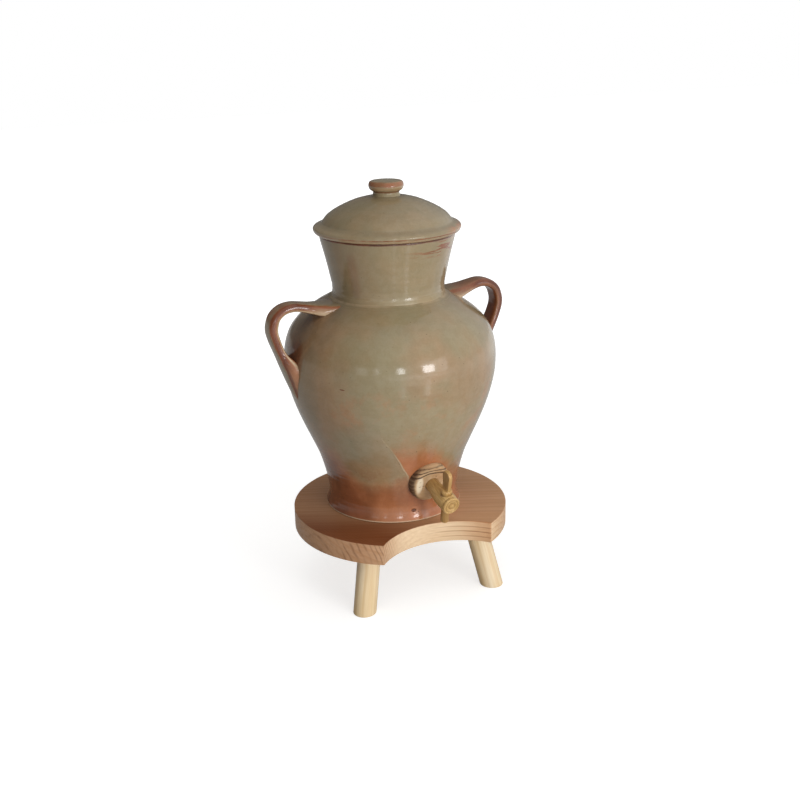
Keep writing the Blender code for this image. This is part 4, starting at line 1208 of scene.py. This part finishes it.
# %% Leg finishes
LEG_NODES = {"front_left": "front_left_leg", "front_right": "front_right_leg", "back": "back_leg"}
for name, turn in LEG_TURNS:
    material, sockets, place = new_finish(name + "_dowel_pine", roughness=0.55)
    foot = foot_of(turn)
    faced = mapped(seen_from(place, foot), Rotation=(0, 0, -turn))
    upright = mapped(faced, Rotation=(LEG_SPLAY, 0, 0))
    off_heart = mapped(upright, Location=(0.018, 0.026, 0))
    late_wood, fibre = wood_at(off_heart, 0.0064, 0.0007, 700.0)
    tone = noise(mapped(upright, Scale=(1, 1, 0.2)), 60, 2)
    yellowed = 0.75 if name == "front_left" else 0.30
    colour = coats(
        mix(fade(tone, 0.35, 0.65), shade(241, 223, 193), shade(232, 207, 166)),
        (fade(axes_of(place)[0], foot.x - 0.022, foot.x - 0.002, yellowed, 0.0), shade(216, 178, 104)),
        (late_wood * 0.20, shade(206, 162, 108)),
    )
    send(tinted(colour, fibre, shade(245, 240, 230)), sockets["Base Color"])
    bump(sockets, fibre, 0.0001, 0.35)
    place_on(legs[name], "stool", LEG_NODES[name], material)

# %% [markdown]
# ## Boxwood and cork
# Boxwood is so fine that a lathe leaves it almost without grain: ochre, with thin lines along the axis and a
# soft shine. Cork is the opposite: dull, pale tan, crossed by dark lenses and a few wide dark layers. Both
# patterns are turned so that they follow the tap, not the world.

# %% Boxwood finish
def boxwood(name, middle, along, base, marks_for):
    """Waxed boxwood whose length lies along a direction. The given function says where it is darker."""
    material, sockets, place = new_finish(name, roughness=0.42)
    rotation = along.rotation_difference(UP).to_euler()
    upright = mapped(seen_from(place, middle), Rotation=tuple(rotation))
    off_heart = mapped(upright, Location=(0.004, 0.009, 0))
    late_wood, fibre = wood_at(off_heart, 0.0016, 0.0003, 900.0)
    tone = noise(mapped(upright, Scale=(1, 1, 0.3)), 70, 3)
    colour = mix(fade(tone, 0.35, 0.65), base, shade(196, 158, 96))
    colour = mix(late_wood * 0.30, colour, shade(160, 112, 58))
    colour = mix(marks_for(upright, place), tinted(colour, fibre, shade(228, 220, 208)), shade(134, 92, 44))
    send(colour, sockets["Base Color"])
    send(fade(fibre, 0.0, 1.0, 0.50, 0.36), sockets["Roughness"])
    bump(sockets, fibre, 0.00008, 0.5)
    return material


def tap_grooves_and_shank_shade(upright, place):
    """Darker in the grooves and at the neck of the tap's end, and painted shade on the shank where it leaves the
    cork.
    """
    x, y, z = axes_of(upright)
    across = length_of(x, y)
    grooves = any_of(band(across, 0.0028, 0.0040, 0.0004), band(across, 0.0067, 0.0073, 0.0004))
    grooves *= fade(z, 0.0480, 0.0486)
    neck = band(z, 0.0458, 0.0464, 0.0003)
    # Painted shade on the shank, fading out from where it leaves the cork
    return any_of(grooves * 0.5, neck * 0.35, fade(z, 0.009, 0.026, 0.50, 0.0))


def key_painted_shade(upright, place):
    """Painted shade on the flat sides of the key, and below its collar."""
    tall = axes_of(upright)[2]
    sideways = dot(seen_from(place, KEY_MIDDLE), key_side)
    shaded_flats = fade(abs(sideways), 0.0014, 0.0020) * fade(tall, 0.0150, 0.0185)
    return any_of(shaded_flats * 0.45, fade(tall, 0.0105, 0.0118, 0.5, 0.0))


tap_axis = tap_frame @ Vector((0, -1, 0))
key_side, key_axis = key_frame.col[0], key_frame.col[2]
place_on(tap, "crock", "tap_body", boxwood("tap_boxwood", TAP_START, tap_axis, shade(214, 177, 116), tap_grooves_and_shank_shade))
place_on(key, "key", "tap_key", boxwood("key_boxwood", KEY_MIDDLE, key_axis, shade(212, 172, 112), key_painted_shade))

# %% Cork finish
def cork(name, layers_and_painted_light):
    """Natural cork, with wide dark layers, a painted highlight and painted shadow where they are asked for."""
    material, sockets, place = new_finish(name, roughness=0.75)
    facing = mapped(seen_from(place, TAP_START), Rotation=(0, 0, -TAP_TURN))
    side, _, tall = axes_of(facing)
    wander = noise(mapped(facing, Scale=(0.5, 1, 1)), 90, 3, 0.6) - 0.5
    level = tall + wander * 0.004 + side * side * 9.0
    colour = mix(fade(wander, -0.15, 0.15), shade(205, 172, 132), shade(182, 142, 100))
    if layers_and_painted_light:
        left = fade_out(side, -0.019, -0.010)
        layers = any_of(band(level, 0.0149, 0.0158, 0.0004), band(level, 0.0115, 0.0128, 0.0005),
                        band(level, 0.0180, 0.0190, 0.0006) * 0.7)
        rim = patch(side, tall, (0.0, 0.0), (0.0222, 0.0222), 0.10)
        stripes = fade(calc("FRACT", level / 0.0042), 0.30, 0.55, 0.82, 1.0)
        # Painted shadow: the left side of the bung, dark and striped
        left_side_shadow_stripes = (1.0 - rim) * (left * stripes)
        # Painted highlight: a pale crescent at the left of the face
        pale = patch(side, tall, (-0.0154, 0.0), (0.0050, 0.0125), 0.45)
        colour = coats(colour, (pale * 0.8, shade(240, 225, 196)), (layers * 0.95, shade(50, 30, 16)),
                       (left_side_shadow_stripes * 0.9, shade(80, 54, 34)))
    cell = put_all("TexVoronoi", {"Vector": mapped(facing, Scale=(0.6, 1, 1.6)), "Scale": 330})
    pores = fade_out(cell["Distance"], 0.15, 0.40) * fade(axes_of(cell["Color"])[0], 0.74, 0.80)
    send(mix(pores * 0.55, colour, shade(104, 68, 42)), sockets["Base Color"])
    bump(sockets, wander - pores, 0.0003, 0.6)
    return material


place_on(bung, "crock", "tap_bung", cork("bung_cork", True))
place_on(sleeve, "crock", "key_liner", cork("sleeve_cork", False))
